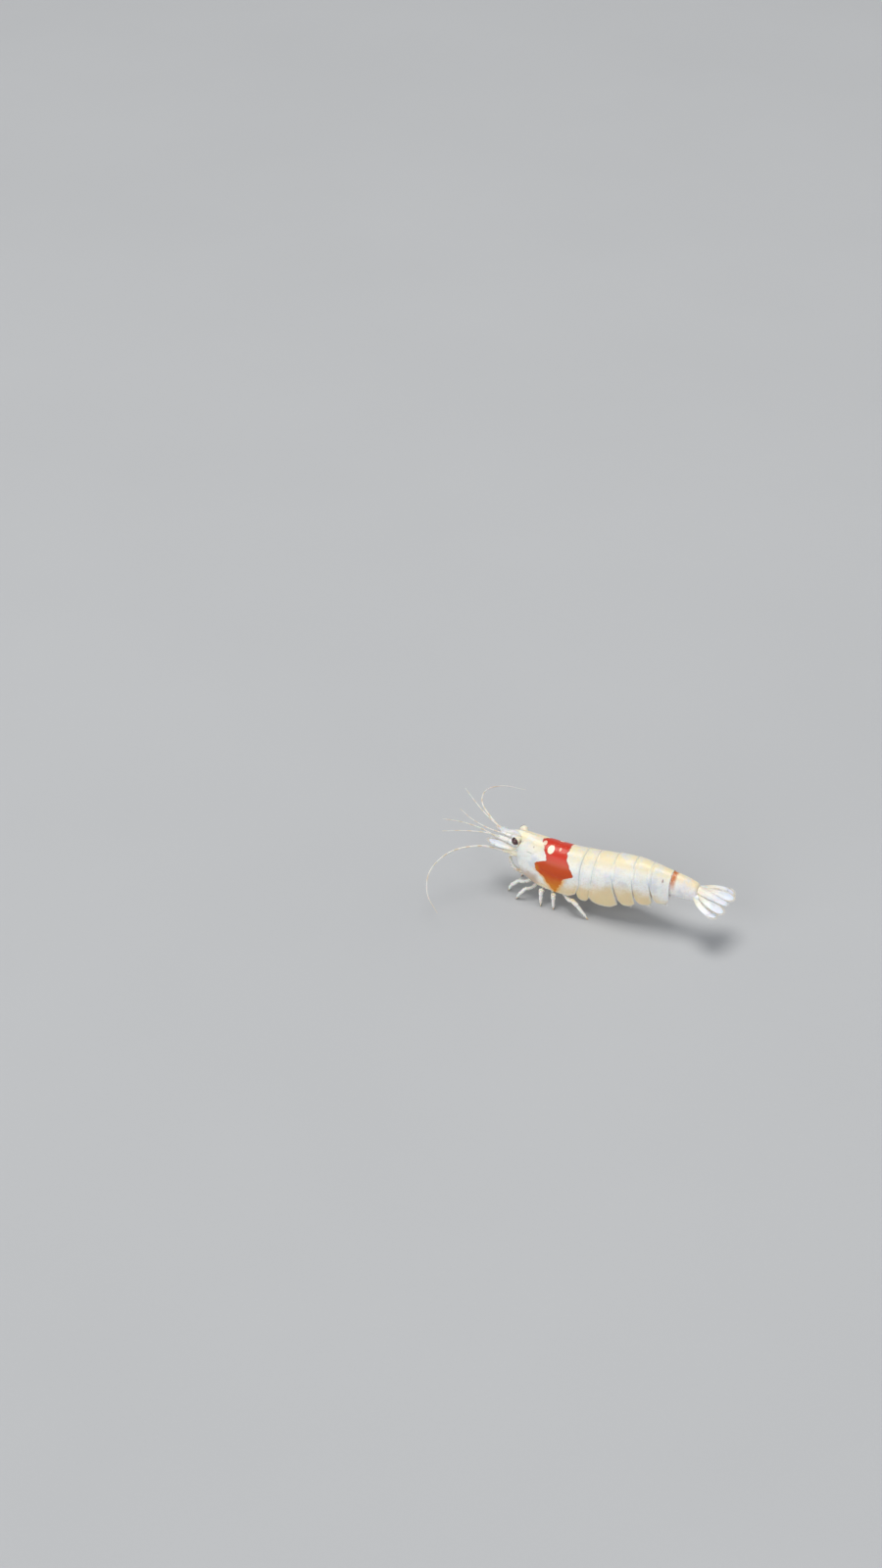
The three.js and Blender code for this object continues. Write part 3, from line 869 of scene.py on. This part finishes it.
def makeFlesh():
    shape = newShape()
    bottom, narrow, under = (through(flesh[k]) for k in ("bottom", "narrow", "under"))
    outline = []
    for i in range(flesh["rows"] + 1):
        y = mix(flesh["from"], flesh["to"], i / flesh["rows"])
        front, rear = min(1, (y - flesh["from"]) / 0.55), min(1, (flesh["to"] - y) / 0.5)
        ends = min(sqrt(1 - 0.96 * (1 - front) ** 2.4), sqrt(1 - 0.9 * (1 - rear) ** 2))
        top, low = ridge(y) - under(y) - 0.1 * ease((-6.2 - y) / 0.6), bottom(y)
        middle = mix(low, top, 0.5)

        def place(up, across):
            width = (halfWidth(y) - under(y)) * (1 - narrow(y) * ease(-up * 1.1))
            furrows = 0.05 * cos(tau * y / 0.85) * ease(-up * 2 - 0.6)
            height = (top - low) / 2 * up * ends
            return Vector((width * across * ends, y, middle + height - furrows))

        outline.append(ringOf(flesh["around"], place))
    addRings(shape, outline)
    addMouth(shape)
    makePiece("flesh", shape, "flesh", ["sternum", "mouthparts"])


mouth = {
    "lip": [(0, -6.95, 4.3), (0, -7.14, 3.98), (0, -7.02, 3.62)],
    "lipRadius": 0.24,
    "leaves": 5,  # on each side, each further out and lower than the last
    "leafRadius": 0.15,
}


def addMouth(shape):
    # the upper lip, and at each side the jaw and the thin leaves that hang over it
    lip = smoothPath(mouth["lip"], 12)
    addTube(shape, lip, bulge(mouth["lipRadius"], 12, 1, 0.6, 0.6), 16, 1.1, (1, 0, 0))
    for side in (-1, 1):
        for k in range(mouth["leaves"]):
            y, z = -7.0 + 0.06 * k, 3.6 - 0.14 * k
            leaf = [((0.5 + 0.03 * k) * side, y + 0.35, z + 0.3), ((0.4 + 0.03 * k) * side, y - 0.02, z),
                    ((0.12 + 0.04 * k) * side, y + 0.05 * k, z - 0.42)]
            path = smoothPath(leaf, 14)
            addTube(shape, path, bulge(mouth["leafRadius"], 14, 0.8), 12, 0.3, (side, -1, 0))
            addDown(hairsOf("head"), path, 0.1, 45, 0.12, 0.0045, fromShare=0.4)


makeFlesh()
print("soft body laid in")


# Eyes on short stalks
eye = {
    "centre": (1.05, -7.0, 5.92),
    "radius": 0.4,
    "flatness": 0.96,  # its depth as a share of its width
    "gaze": (0.8, -0.5, -0.17),
    "stalk": [(0.3, -6.6, 5.74), (0.55, -6.68, 5.9)],
    "stalkRadius": [(0, 0.26), (0.25, 0.24), (0.5, 0.28), (0.75, 0.36), (0.92, 0.4), (1, 0.4)],
    "cupAngle": 95,  # degrees of the globe that the cornea covers, from its pole
}
gaze, cupAngle = Vector(eye["gaze"]).normalized(), radians(eye["cupAngle"])


def onEye(angle):
    # the point on the globe's axis at an angle from its pole
    return Vector(eye["centre"]) + gaze * (eye["radius"] * eye["flatness"] * cos(angle))


def buildEye(side, shape, hair):
    path, radii, steps = [], [], 30
    for i in range(steps + 1):
        angle = cupAngle * i / steps
        path.append(onEye(angle))
        radii.append(max(eye["radius"] * sin(angle), 0.004))
    path.append(path[-1] - gaze * 0.05)
    radii.append(radii[-1] * 0.7)
    addTube(shape, path, radii, 40)


def buildStalk(side, shape, hair):
    end = onEye(cupAngle) - gaze * 0.01
    radius = through(eye["stalkRadius"])
    steps = 26
    path = smoothPath([*eye["stalk"], end - gaze * 0.2, end], steps) + [end + gaze * 0.03]
    rim = [radius(i / steps) + 0.015 * ease((i / steps - 0.9) / 0.08) for i in range(steps + 1)]
    addTube(shape, path, rim + [0.34], 36)


makePair("eye", buildEye, "eye")
makePair("eyestalk", buildStalk, "head")


# First feelers: a stem of three segments and two ringed whips
antennule = {
    "stem": [(0.3, -6.5, 5.0, 0.28), (0.35, -7.95, 5.22, 0.215), (0.37, -8.5, 5.32, 0.18),
             (0.39, -9.02, 5.41, 0.16)],
    "outer": [(0.46, -8.9, 5.47), (0.7, -9.28, 5.64), (1, -10.7, 6.4), (1.75, -12.3, 7.2),
              (2.75, -13.8, 7.85)],
    "inner": [(0.31, -8.9, 5.38), (0.29, -9.3, 5.42), (0.48, -10.7, 5.5), (1.15, -12.5, 5.6),
              (2.15, -14.1, 5.75)],
    "outerLean": (0.25, 0, 0),
    "innerLean": (0.2, 0, 0.1),
}


def addWhip(shape, points, start, end, spacing):
    # a tapering whip of small rings
    rough = smoothPath(points, 40)
    length = sum((b - a).length for a, b in pairwise(rough))
    count = int(length / spacing)
    path = smoothPath(points, count * 3)
    beads = (1.1, 1.06, 0.9)
    radii = [r * beads[i % 3] for i, r in enumerate(taper(start, end, len(path) - 1, 0.8))]
    addTube(shape, path, radii, 8)
    return path


def leaned(points, lean, side):
    last = len(points) - 1
    return [Vector(p) + Vector(lean) * side * (i / last) ** 2 for i, p in enumerate(points)]


def buildAntennule(side, shape, hair):
    for a, b in pairwise(antennule["stem"]):
        path = addSegment(shape, [a[:3], b[:3]], a[3], b[3] * 1.06, 20, 1.2, (1, 0, 0), 20, stemProfile)
        addDown(hair, path, a[3], 30, 0.11)
        tip = Vector(b[:3])
        for k in range(15):
            angle = pi * (k / 14 - 0.5)
            root = tip + Vector((sin(angle) * b[3] * 1.15, 0.05, cos(angle) * b[3] * 0.9))
            addHair(hair, root, Vector((sin(angle) * 0.35, -1, 0.15)).normalized(), 0.2, 0.006)
    addSpine(shape, (0.5, -6.85, 5.02), (0.66, -7.85, 5.16), 0.1, 8)


def buildOuterWhip(side, shape, hair):
    points = leaned(antennule["outer"], antennule["outerLean"], side)
    path = addWhip(shape, points, 0.095, 0.02, 0.09)
    addDown(hair, path[6:len(path) // 2], 0.05, 140, 0.1, 0.004, 1.2)


def buildInnerWhip(side, shape, hair):
    addWhip(shape, leaned(antennule["inner"], antennule["innerLean"], side), 0.08, 0.018, 0.085)


makePair("antennule", buildAntennule, "head")
makePair("antennule_outer", buildOuterWhip, "feeler")
makePair("antennule_inner", buildInnerWhip, "feeler")
print("eyes and first feelers made")


# Leaves: the antennal scale, the swimmerets' blades and the lobes of the tail fan

def addLeaf(shape, base, tip, inner, outer, thickness, side=(1, 0, 0), camber=0, bend=0, ribs=(), rows=40):
    # inner and outer give the width at each side of the midline; returns the outline and the upward way
    base, tip = Vector(base), Vector(tip)
    way = (tip - base).normalized()
    across = crosswise(Vector(side), way)
    up = way.cross(across)
    if up.z < 0:
        up = -up
    rings, lay, near, far, around = [], [], [], [], 40
    for i in range(rows + 1):
        t = sin(0.5 * pi * i / rows) if i > rows / 2 else i / rows * sqrt(2)
        centre = base.lerp(tip, t) + across * (bend * sin(pi * t))

        def place(c, s):
            width = outer(t) if c > 0 else inner(t)
            lift = thickness(t) * s * (0.35 + 0.65 * abs(s))
            lift += camber * (1 - c * c) * sin(pi * min(t + 0.25, 1))
            for spot, size, height in ribs:
                lift += height * hump(c, spot, size) * s * (1 - t * t)
            lay.append((abs(c), t))
            return centre + across * (width * c) + up * lift

        ring = ringOf(around, place)
        rings.append(ring)
        far.append(ring[0])
        near.append(ring[around // 2])
    if not shape["points"]:
        shape["lay"] = lay
    addRings(shape, rings)
    return near + far[::-1], up


def addFringe(hair, outline, up, start, end, spacing, length, width, sweep):
    # setae in the leaf's plane from start to end of its outline, as shares of its length
    steps = [(b - a).length for a, b in pairwise(outline)]
    total, centre = sum(steps), sum(outline, Vector()) / len(outline)
    turn = 0
    for a, b in pairwise(outline):
        turn += (b - a).cross(up).dot((a + b) / 2 - centre)
    at, i, passed = start * total, 0, 0
    tipWay = (outline[len(outline) // 2] - outline[0]).normalized()
    while at < end * total:
        while i < len(steps) - 1 and passed + steps[i] < at:
            passed += steps[i]
            i += 1
        share = (at - passed) / max(steps[i], 1e-6)
        root = outline[i].lerp(outline[i + 1], min(share, 1))
        out = (outline[i + 1] - outline[i]).cross(up).normalized() * copysign(1, turn)
        way = (out + tipWay * sweep + up * dice.uniform(-0.12, 0.12)).normalized()
        edge = ease((at / total - start) * 14) * ease((end - at / total) * 14)
        size = length * mix(0.45, 1, edge) * dice.uniform(0.85, 1.1)
        addHair(hair, root - way * 0.02, way, size, width)
        at += spacing * dice.uniform(0.8, 1.2)


antenna = {
    # place, near and far radius of each segment's start; the last line is only an end
    "base": [(0.76, -6.5, 4.46, 0.38, 0.38), (0.93, -7.34, 4.44, 0.25, 0.22),
             (0.99, -7.62, 4.43, 0.18, 0.15), (1.05, -8.24, 4.44, 0, 0)],
    "scaleFrom": (0.97, -7.0, 4.74),
    "scaleTo": (1.15, -9.72, 5.34),
    "scaleInner": [(0, 0.08), (0.1, 0.2), (0.35, 0.36), (0.6, 0.42), (0.85, 0.35), (0.96, 0.2), (1, 0.05)],
    "scaleOuter": [(0, 0.08), (0.1, 0.2), (0.35, 0.35), (0.6, 0.4), (0.8, 0.39), (0.84, 0.31), (0.95, 0.16),
                   (1, 0.05)],
    "left": [(1.04, -8.15, 4.44), (1.8, -10.3, 4.85), (3.6, -12.6, 4.7), (6, -13.7, 3.8),
             (8.1, -13.1, 2.7), (9.45, -11.45, 1.75)],
    "right": [(1.04, -8.15, 4.44), (2, -10.4, 5.1), (4, -12.6, 5.4), (6.5, -13.2, 5.2),
              (8.6, -12.2, 4.6), (9.75, -10.3, 3.9)],
    "width": (0.11, 0.018),
    "fringe": {"start": 0.1, "end": 0.6, "spacing": 0.022, "length": 0.3, "width": 0.009, "sweep": 0.9},
}


def buildAntennaBase(side, shape, hair):
    for a, b in pairwise(antenna["base"]):
        path = addSegment(shape, [a[:3], b[:3]], a[3], a[4], 20, 1.1, (1, 0, 0), 18, stemProfile)
        addDown(hair, path, a[3], 24, 0.1)
    addSpine(shape, (1.18, -6.95, 4.3), (1.3, -7.6, 4.26), 0.09)


def buildScale(side, shape, hair):
    look = antenna
    start, end = Vector(look["scaleFrom"]), Vector(look["scaleTo"])
    outline, up = addLeaf(shape, start, end, through(look["scaleInner"]), through(look["scaleOuter"]),
                          through([(0, 0.12), (0.3, 0.07), (1, 0.016)]), (1, 0, -0.12), 0.06, 0,
                          [(0.66, 0.1, 0.03), (0.1, 0.2, 0.02)], 44)
    corner = start.lerp(end, 0.82) + Vector((0.37, 0, -0.04))
    addSpine(shape, corner + Vector((-0.03, 0.3, 0)), corner + Vector((0.03, -0.22, 0.03)), 0.07)
    addFringe(hair, outline, up, **look["fringe"])


def buildAntenna(side, shape, hair):
    points = antenna["left" if side > 0 else "right"]
    addWhip(shape, points, *antenna["width"], 0.1)


makePair("antenna_base", buildAntennaBase, "head")
makePair("antenna_scale", buildScale, "leaf")
makePair("antenna", buildAntenna, "feeler")
print("second feelers made")


# The third jaw legs, folded up in front of the mouth
jawLeg = {
    "joints": [(0.46, -5.75, 2.35), (0.8, -6.65, 2.3), (0.84, -7.35, 2.85), (0.74, -7.68, 3.62)],
    "radii": [0.2, 0.19, 0.15, 0.09],
}


def addLimb(shape, hair, joints, radii, bend, flat, count, length, lean):
    # bowed segments from joint to joint: radii are the near and far one of each
    for (a, b), (start, end) in zip(pairwise(joints), radii):
        bow = a.lerp(b, 0.5) + Vector(bend)
        path = addSegment(shape, [a, bow, b], start, end, 16, flat, (1, 0, 0))
        addDown(hair, path, start, count, length, 0.0045, lean)


def buildJawLeg(side, shape, hair):
    joints = [Vector(p) for p in jawLeg["joints"]]
    radii = [(a, b * 1.08) for a, b in pairwise(jawLeg["radii"])]
    addLimb(shape, hair, joints, radii, (0.05, 0, -0.06), 0.8, 170, 0.19, 1.6)
    for _ in range(30):
        root = joints[3] + Vector((dice.uniform(-0.05, 0.05), dice.uniform(-0.04, 0.04), -0.08))
        way = Vector((dice.uniform(-0.4, 0.3), dice.uniform(-0.3, 0.3), 1)).normalized()
        addHair(hair, root, way, dice.uniform(0.2, 0.32), 0.005)


# Two pairs of small pincers with brushes, picking at the floor
pincers = {
    1: {"joints": [(0.5, -5.05, 1.95), (0.82, -5.3, 1.75), (1.15, -5.85, 1.5), (1.3, -6.5, 1.5),
                   (1.32, -7.1, 0.75), (1.3, -7.35, 0)],
        "stride": (0, -0.1, -0.15), "radii": (0.24, 0.2, 0.2, 0.19), "palm": 0.23},
    2: {"joints": [(0.5, -4.45, 1.85), (0.84, -4.65, 1.62), (1.4, -4.95, 1.22), (2, -5.5, 1.3),
                   (2.2, -6.2, 0.65), (2.2, -6.6, 0)],
        "stride": (0, 0.2, 0.3), "radii": (0.22, 0.18, 0.18, 0.17), "palm": 0.2},
}


def buildPincer(n, side, shape, hair):
    look = pincers[n]
    joints = [Vector(p) for p in look["joints"]]
    for joint, stride in zip(joints[3:], look["stride"]):
        joint.y += stride * side
    radii = pairwise([*look["radii"], look["radii"][-1]])
    addLimb(shape, hair, joints[:5], radii, (0.02, 0, -0.04), 0.85, 45, 0.12, 0.9)
    addClaw(shape, hair, joints[4], joints[5], look["palm"])


# reach of the palm and of the fingers beyond it, as shares of the way from wrist to floor
claw = {"palm": 0.46, "finger": 0.45, "fingerRadius": (0.1, 0.042), "brush": 60}


def addClaw(shape, hair, wrist, floor, size):
    # a palm, a fixed and a moving finger with spoon-shaped tips, and a brush of setae on each
    way = (floor - wrist).normalized()
    across = crosswise(Vector((1, 0, 0)), way)
    reach = (floor - wrist).length
    palm = wrist + way * reach * claw["palm"]
    path = addSegment(shape, [wrist, palm], size * 0.82, size * 0.95, 18, 0.72, (0, 1, 0), 18, stemProfile)
    addDown(hair, path, size * 0.8, 30, 0.1, 0.0045)
    for turn in (-1, 1):
        knuckle = palm - way * 0.1 + across * (0.08 * turn)
        bow = palm + way * reach * 0.22 + across * (0.125 * turn)
        tip = palm + way * reach * claw["finger"] + across * (0.035 * turn)
        path = smoothPath([knuckle, bow, tip], 14)
        addTube(shape, path, taper(*claw["fingerRadius"], 14, 1.6), 14, 0.75, across)
        for _ in range(claw["brush"]):
            root = path[dice.randint(9, 14)]
            out = across * dice.uniform(-0.4, 0.9) * turn + Vector((0, dice.uniform(-0.6, 0.6), 0))
            addHair(hair, root, (way + out * 0.6).normalized(), dice.uniform(0.14, 0.28), 0.005)


# Three pairs of walking legs: hip, knee and foot, each pair reaching further to the rear
walking = {
    3: {"hip": (0.84, -3.85, 1.6), "knee": (2.05, -3.95, 1.64), "foot": (2.4, -3.9, 0), "stride": 0.2},
    4: {"hip": (0.84, -3, 1.58), "knee": (2.2, -2.4, 1.6), "foot": (2.35, -2.15, 0), "stride": -0.25},
    5: {"hip": (0.84, -2.1, 1.56), "knee": (2.35, -0.6, 1.66), "foot": (2.45, 1.05, 0), "stride": 0.2},
}
walkingRadii = {"coxa": 0.28, "ischium": 0.21, "merus": 0.24, "carpus": 0.23, "propodus": 0.2, "claw": 0.09}


def buildWalkingLeg(n, side, shape, hair):
    stance, r = walking[n], walkingRadii
    hip, knee, foot = (Vector(stance[k]) for k in ("hip", "knee", "foot"))
    knee.y += stance["stride"] * side / 2
    foot.y += stance["stride"] * side
    root = Vector((0.42, hip.y + 0.02, hip.z + 0.35))
    thigh = hip.lerp(knee, 0.3) - Vector((0, 0, 0.36))
    belly = hip.lerp(knee, 0.7) - Vector((0, 0, 0.34))
    shin = knee.lerp(foot, 0.3) + Vector((0, 0, 0.08))
    ankle = knee.lerp(foot, 0.8) + Vector((0, 0, 0.02))
    addSegment(shape, [root, hip], r["coxa"], r["ischium"] * 1.05, 16)
    calf = shin.lerp(ankle, 0.5) + Vector((0.03, 0, 0))
    paths = [
        addSegment(shape, [hip, thigh], r["ischium"], r["merus"], 16),
        addSegment(shape, [thigh, belly, knee], r["merus"], r["carpus"], 18, 0.85, (0, 0, 1), 26),
        addSegment(shape, [knee, shin], r["carpus"], r["carpus"] * 0.95, 16),
        addSegment(shape, [shin, calf, ankle], r["propodus"], r["claw"] * 1.35, 16, 1, None, 24),
    ]
    tip = foot + Vector((0, 0, 0.01))
    curl = ankle.lerp(foot, 0.55) + Vector((0.06, 0, 0))
    path = smoothPath([ankle, curl, tip], 14)
    addTube(shape, path, taper(r["claw"], 0.014, 14, 1.4), 12)
    for path, width, count in zip(paths, (0.2, 0.2, 0.19, 0.14), (24, 60, 26, 70)):
        addDown(hair, path, width, count, 0.12, 0.0045)
    addLegSpines(shape, paths, curl, ankle)


def addLegSpines(shape, paths, curl, ankle):
    # a few stout spines under the long segments and along the claw
    for path, width, count in ((paths[1], 0.15, 3), (paths[3], 0.1, 8)):
        for k in range(count):
            i = int(mix(0.25, 0.92, k / (count - 1)) * (len(path) - 1))
            way = (path[i + 1] - path[i]).normalized()
            below = crosswise(Vector((-0.45, 0.1, -0.5)), way)
            root = path[i] + below * width * 0.85
            addSpine(shape, root, root + (below + way * 0.9).normalized() * 0.13, 0.022, 5)
    for k in range(4):
        root = ankle.lerp(curl, 0.3 + 0.3 * k) + Vector((-0.02, 0, 0))
        root.z = max(root.z, 0.1)
        addSpine(shape, root, root + Vector((-0.07, 0, -0.05)), 0.018, 5)


makePair("maxilliped", buildJawLeg, "limb")
for n in (1, 2):
    makePair(f"cheliped_{n}", partial(buildPincer, n), "limb", "legs")
for n in (3, 4, 5):
    makePair(f"walking_leg_{n}", partial(buildWalkingLeg, n), "limb", "legs")
print("legs jointed")


# Five pairs of swimmerets: a stout stem with two fringed blades
swimmerets = [
    {"y": 0.4, "top": 2.4, "tip": 0.75},
    {"y": 2, "top": 2.4, "tip": 0.75},
    {"y": 4.2, "top": 3.02, "tip": 1.3},
    {"y": 5.95, "top": 3.48, "tip": 1.8},
    {"y": 7.5, "top": 3.9, "tip": 2.4},
]
blade = {
    "lean": (0.85, 0.08),
    "width": [(0, 0.1), (0.3, 0.22), (0.6, 0.24), (0.85, 0.16), (1, 0.03)],
    "thickness": [(0, 0.1), (0.5, 0.06), (1, 0.02)],
    "fringe": {"start": 0.12, "end": 0.9, "spacing": 0.03, "length": 0.27, "width": 0.007, "sweep": 0.8},
}


def buildSwimmeret(n, side, shape, hair):
    look = swimmerets[n - 1]
    x = 0.5 * (0.9 * halfWidth(look["y"]) - 0.42)
    lean = blade["lean"][0] + blade["lean"][1] * side

    def at(t, out=0, back=0):
        height = mix(look["top"], look["tip"], t)
        return Vector((x + 0.08 * t + out, look["y"] + lean * t * t + back, height))

    path = addSegment(shape, [at(-0.12), at(0.2), at(0.42)], 0.24, 0.2, 16, 0.75, (1, 0, 0))
    addDown(hair, path, 0.2, 30, 0.12)
    width, thickness = through(blade["width"]), through(blade["thickness"])
    for out, back, tip in ((0.13, 0.08, 0.82), (-0.1, -0.08, 0.76)):
        outline, up = addLeaf(shape, at(0.38, out * 0.6), at(tip, out, back), width, width, thickness,
                              (0, 1, 0), 0.03, 0.03, [(0, 0.15, 0.02)], 24)
        addFringe(hair, outline, up, **blade["fringe"])


for n in range(1, 6):
    makePair(f"pleopod_{n}", partial(buildSwimmeret, n), "limb", "swimmerets")
print("swimmerets hung")


# The tail fan, in a frame of its own: its y runs to the rear
fan = {
    "place": (0, 11.34, 4.78),
    "roll": 12,
    "yaw": -12,
    "telson": {"from": (0, -0.5, 0.34), "to": (0, 2.84, -0.02),
               "width": [(0, 0.15), (0.07, 0.38), (0.18, 0.5), (0.4, 0.48), (0.68, 0.39), (0.88, 0.3),
                         (0.97, 0.24), (1, 0.15)],
               "thickness": [(0, 0.12), (0.1, 0.25), (0.3, 0.22), (0.6, 0.12), (1, 0.04)],
               "fringe": {"spacing": 0.04, "length": 0.14, "width": 0.006, "sweep": 0.9}},
    "endopod": {"from": (0.34, -0.1, 0.05), "to": (1.02, 3.0, -0.12),
                "inner": [(0, 0.2), (0.3, 0.4), (0.6, 0.46), (0.82, 0.42), (0.95, 0.26), (1, 0.08)],
                "outer": [(0, 0.2), (0.3, 0.4), (0.6, 0.46), (0.82, 0.41), (0.95, 0.25), (1, 0.07)],
                "bend": 0.04, "fringed": (0.16, 0.9)},  # from where to where on its outline
    "exopod": {"from": (0.7, -0.15, -0.1), "to": (1.68, 2.6, -0.32),
               "inner": [(0, 0.3), (0.3, 0.6), (0.65, 0.66), (0.85, 0.54), (0.96, 0.3), (1, 0.08)],
               "outer": [(0, 0.26), (0.3, 0.45), (0.6, 0.5), (0.72, 0.49), (0.76, 0.43), (0.88, 0.36),
                         (0.97, 0.2), (1, 0.08)],
               "bend": 0.15, "fringed": (0.28, 0.66)},
    "blade": [(0, 0.1), (0.3, 0.055), (1, 0.018)],
    "fringe": {"spacing": 0.02, "length": 0.3, "width": 0.009, "sweep": 0.75},
    "root": [(0.3, -0.55, 0.02), (0.54, -0.12, -0.05), (0.86, 0.3, -0.1)],  # the lobes' common base
    "rootRadius": 0.32,
}
roll, yaw = (Matrix.Rotation(radians(fan[k]), 4, axis) for k, axis in (("roll", "Y"), ("yaw", "Z")))
tailFrame = Matrix.Translation(fan["place"]) @ roll @ yaw


def makeTelson():
    look, shape, hair = fan["telson"], newShape(), newShape()
    width = through(look["width"])
    outline, up = addLeaf(shape, look["from"], look["to"], width, width, through(look["thickness"]),
                          camber=0.06, ribs=[(0.45, 0.12, 0.03), (-0.45, 0.12, 0.03)])
    start, end = Vector(look["from"]), Vector(look["to"])
    for k in range(5):
        t = 0.42 + 0.12 * k
        for side in (-1, 1):
            root = start.lerp(end, t) + Vector((side * width(t) * 0.72, 0, 0.1 * (1.4 - t)))
            addSpine(shape, root, root + Vector((0.02 * side, 0.16, 0.03)), 0.022, 5)
    for k in range(8):
        x = mix(-0.19, 0.19, k / 7)
        size = 0.24 if k in (0, 7) else 0.34 - 0.1 * abs(k - 3.5) / 3.5
        root = end + Vector((x, -0.05 - 0.5 * x * x, 0))
        addSpine(shape, root, root + Vector((x * 0.5, size, -0.02)), 0.026 if k in (1, 6) else 0.018, 5)
    for first, last in ((0.3, 0.47), (0.53, 0.7)):
        addFringe(hair, outline, up, first, last, **look["fringe"])
    for part in (shape, hair):
        move(part, tailFrame)
    makePiece("telson", shape, "leaf", ["telson"])
    merge(hairsOf("tail"), hair)


def buildLobe(kind, side, shape, hair):
    look = fan[kind]
    inner, outer = through(look["inner"]), through(look["outer"])
    outline, up = addLeaf(shape, look["from"], look["to"], inner, outer, through(fan["blade"]),
                          camber=0.05, bend=look["bend"], ribs=[(0.0, 0.06, 0.03), (0.5, 0.08, 0.012)])
    addFringe(hair, outline, up, *look["fringed"], **fan["fringe"])
    if kind == "exopod":
        addTailSuture(shape, look, inner, outer)
        path = smoothPath(fan["root"], 20)
        addTube(shape, path, bulge(fan["rootRadius"], 20, 0.4), 20, 0.7, (0, 0, 1))
        addSpine(shape, (1.0, 0.05, -0.1), (1.16, 0.42, -0.14), 0.09)


def addTailSuture(shape, look, inner, outer):
    # the outer lobe's tooth, and the row of spinules along its cross joint
    start, end = Vector(look["from"]), Vector(look["to"])
    way = (end - start).normalized()
    across = Vector((way.y, -way.x, 0)).normalized()
    for k in range(13):
        share = mix(-0.75, 0.98, k / 12)
        t = 0.74 + 0.05 * (1 - share * share)
        half = outer(t) if share > 0 else inner(t)
        root = start.lerp(end, t) + across * (half * share + look["bend"] * sin(pi * t))
        root += Vector((0, 0, 0.07 * (1 - share * share)))
        last = k == 12
        addSpine(shape, root, root + way * (0.24 if last else 0.11), 0.05 if last else 0.024, 5)


makeTelson()
for kind in ("endopod", "exopod"):
    makePair(f"uropod_{kind}", partial(buildLobe, kind), "leaf", "tail", tailFrame)
print("tail fan spread")

hairSlots = {"head": "feeler", "legs": "limb", "swimmerets": "limb", "tail": "shell", "hems": "shell"}
for region, slot in hairSlots.items():
    for p in hairsOf(region)["points"]:
        p.z = max(p.z, 0.008)  # never below the floor
    makePiece("hairs_" + region, hairsOf(region), "hair")
    print(f"hairs of {region}: {len(hairs[region]['faces'])} faces")


# Floor, light and camera
stageLook = {
    "floor": tint(190, 192, 194),
    "floorShade": tint(184, 186, 188),
    "floorRadius": 0.8,
    "air": tint(224, 227, 232),
    "airStrength": (0.74, 0.36),  # at the horizon and high up
    "airHigh": 0.6,  # sine of the angle where the air stops fading
    # place and size in metres, power in watts, warmth as a colour
    "lamps": {
        "overhead": ((-0.06, -0.12, 1.0), 0.6, 5.9, (1.0, 0.98, 0.95)),
        "side": ((0.85, -0.25, 0.4), 0.85, 4.1, (0.97, 0.98, 1.0)),
        "back": ((-0.65, 0.7, 0.5), 0.65, 1.25, (1.0, 0.97, 0.94)),
    },
}


def layFloor():
    radius, around = stageLook["floorRadius"], 120
    edge = ringOf(around, lambda c, s: (radius * c, radius * s, 0))
    mesh = bpy.data.meshes.new("floor")
    mesh.from_pydata(edge, [], [tuple(range(around))])
    floor = show("floor", mesh)
    f = Finish("paleFloor")
    grain = f.clouds(0.02)
    colour = f.blend(grain, stageLook["floor"], stageLook["floorShade"])
    mesh.materials.append(f.finish(colour, f.between(grain, 0.75, 0.85), f.clouds(3.0), 0.01))


def hangLamps():
    centre = origin + Vector((0, 2, 3)) * mm
    for name, (place, size, power, colour) in stageLook["lamps"].items():
        lamp = bpy.data.lights.new(name, "AREA")
        lamp.shape = "DISK"
        lamp.size, lamp.energy, lamp.color = size, power, colour
        holder = show(name, lamp)
        holder.location = place
        holder.rotation_euler = (centre - Vector(place)).to_track_quat("-Z", "Y").to_euler()
    world = bpy.data.worlds.new("studioAir")
    world.use_nodes = True
    tree = world.node_tree
    air = tree.nodes["Background"]
    air.inputs["Color"].default_value = stageLook["air"]
    height = addNode(tree, "SeparateXYZ", {0: addNode(tree, "TexCoord", {}, "Generated")}, "Z")
    low, high = stageLook["airStrength"]
    values = {"Value": height, "From Max": stageLook["airHigh"], "To Min": low, "To Max": high}
    fade = addNode(tree, "MapRange", values, interpolation_type="SMOOTHSTEP")
    tree.links.new(fade, air.inputs["Strength"])
    bpy.context.scene.world = world
    bpy.context.scene.view_settings.view_transform = "Standard"


# The camera's place in millimetres, and the way it looks: degrees round the object and above the floor
cameraLook = {"place": (168.65, 59.59, 141.09), "azimuth": 114, "elevation": 35.5, "lens": 54}


def setCamera():
    turn = Matrix.Rotation(radians(cameraLook["azimuth"]), 4, "Z")
    tip = Matrix.Rotation(radians(90 - cameraLook["elevation"]), 4, "X")
    data = bpy.data.cameras.new("camera")
    data.lens, data.sensor_width = cameraLook["lens"], 36
    data.clip_start, data.clip_end = 0.01, 10
    camera = show("camera", data)
    camera.matrix_world = Matrix.Translation(Vector(cameraLook["place"]) * mm) @ turn @ tip
    bpy.context.scene.camera = camera


layFloor()
hangLamps()
setCamera()
print("stage lit")
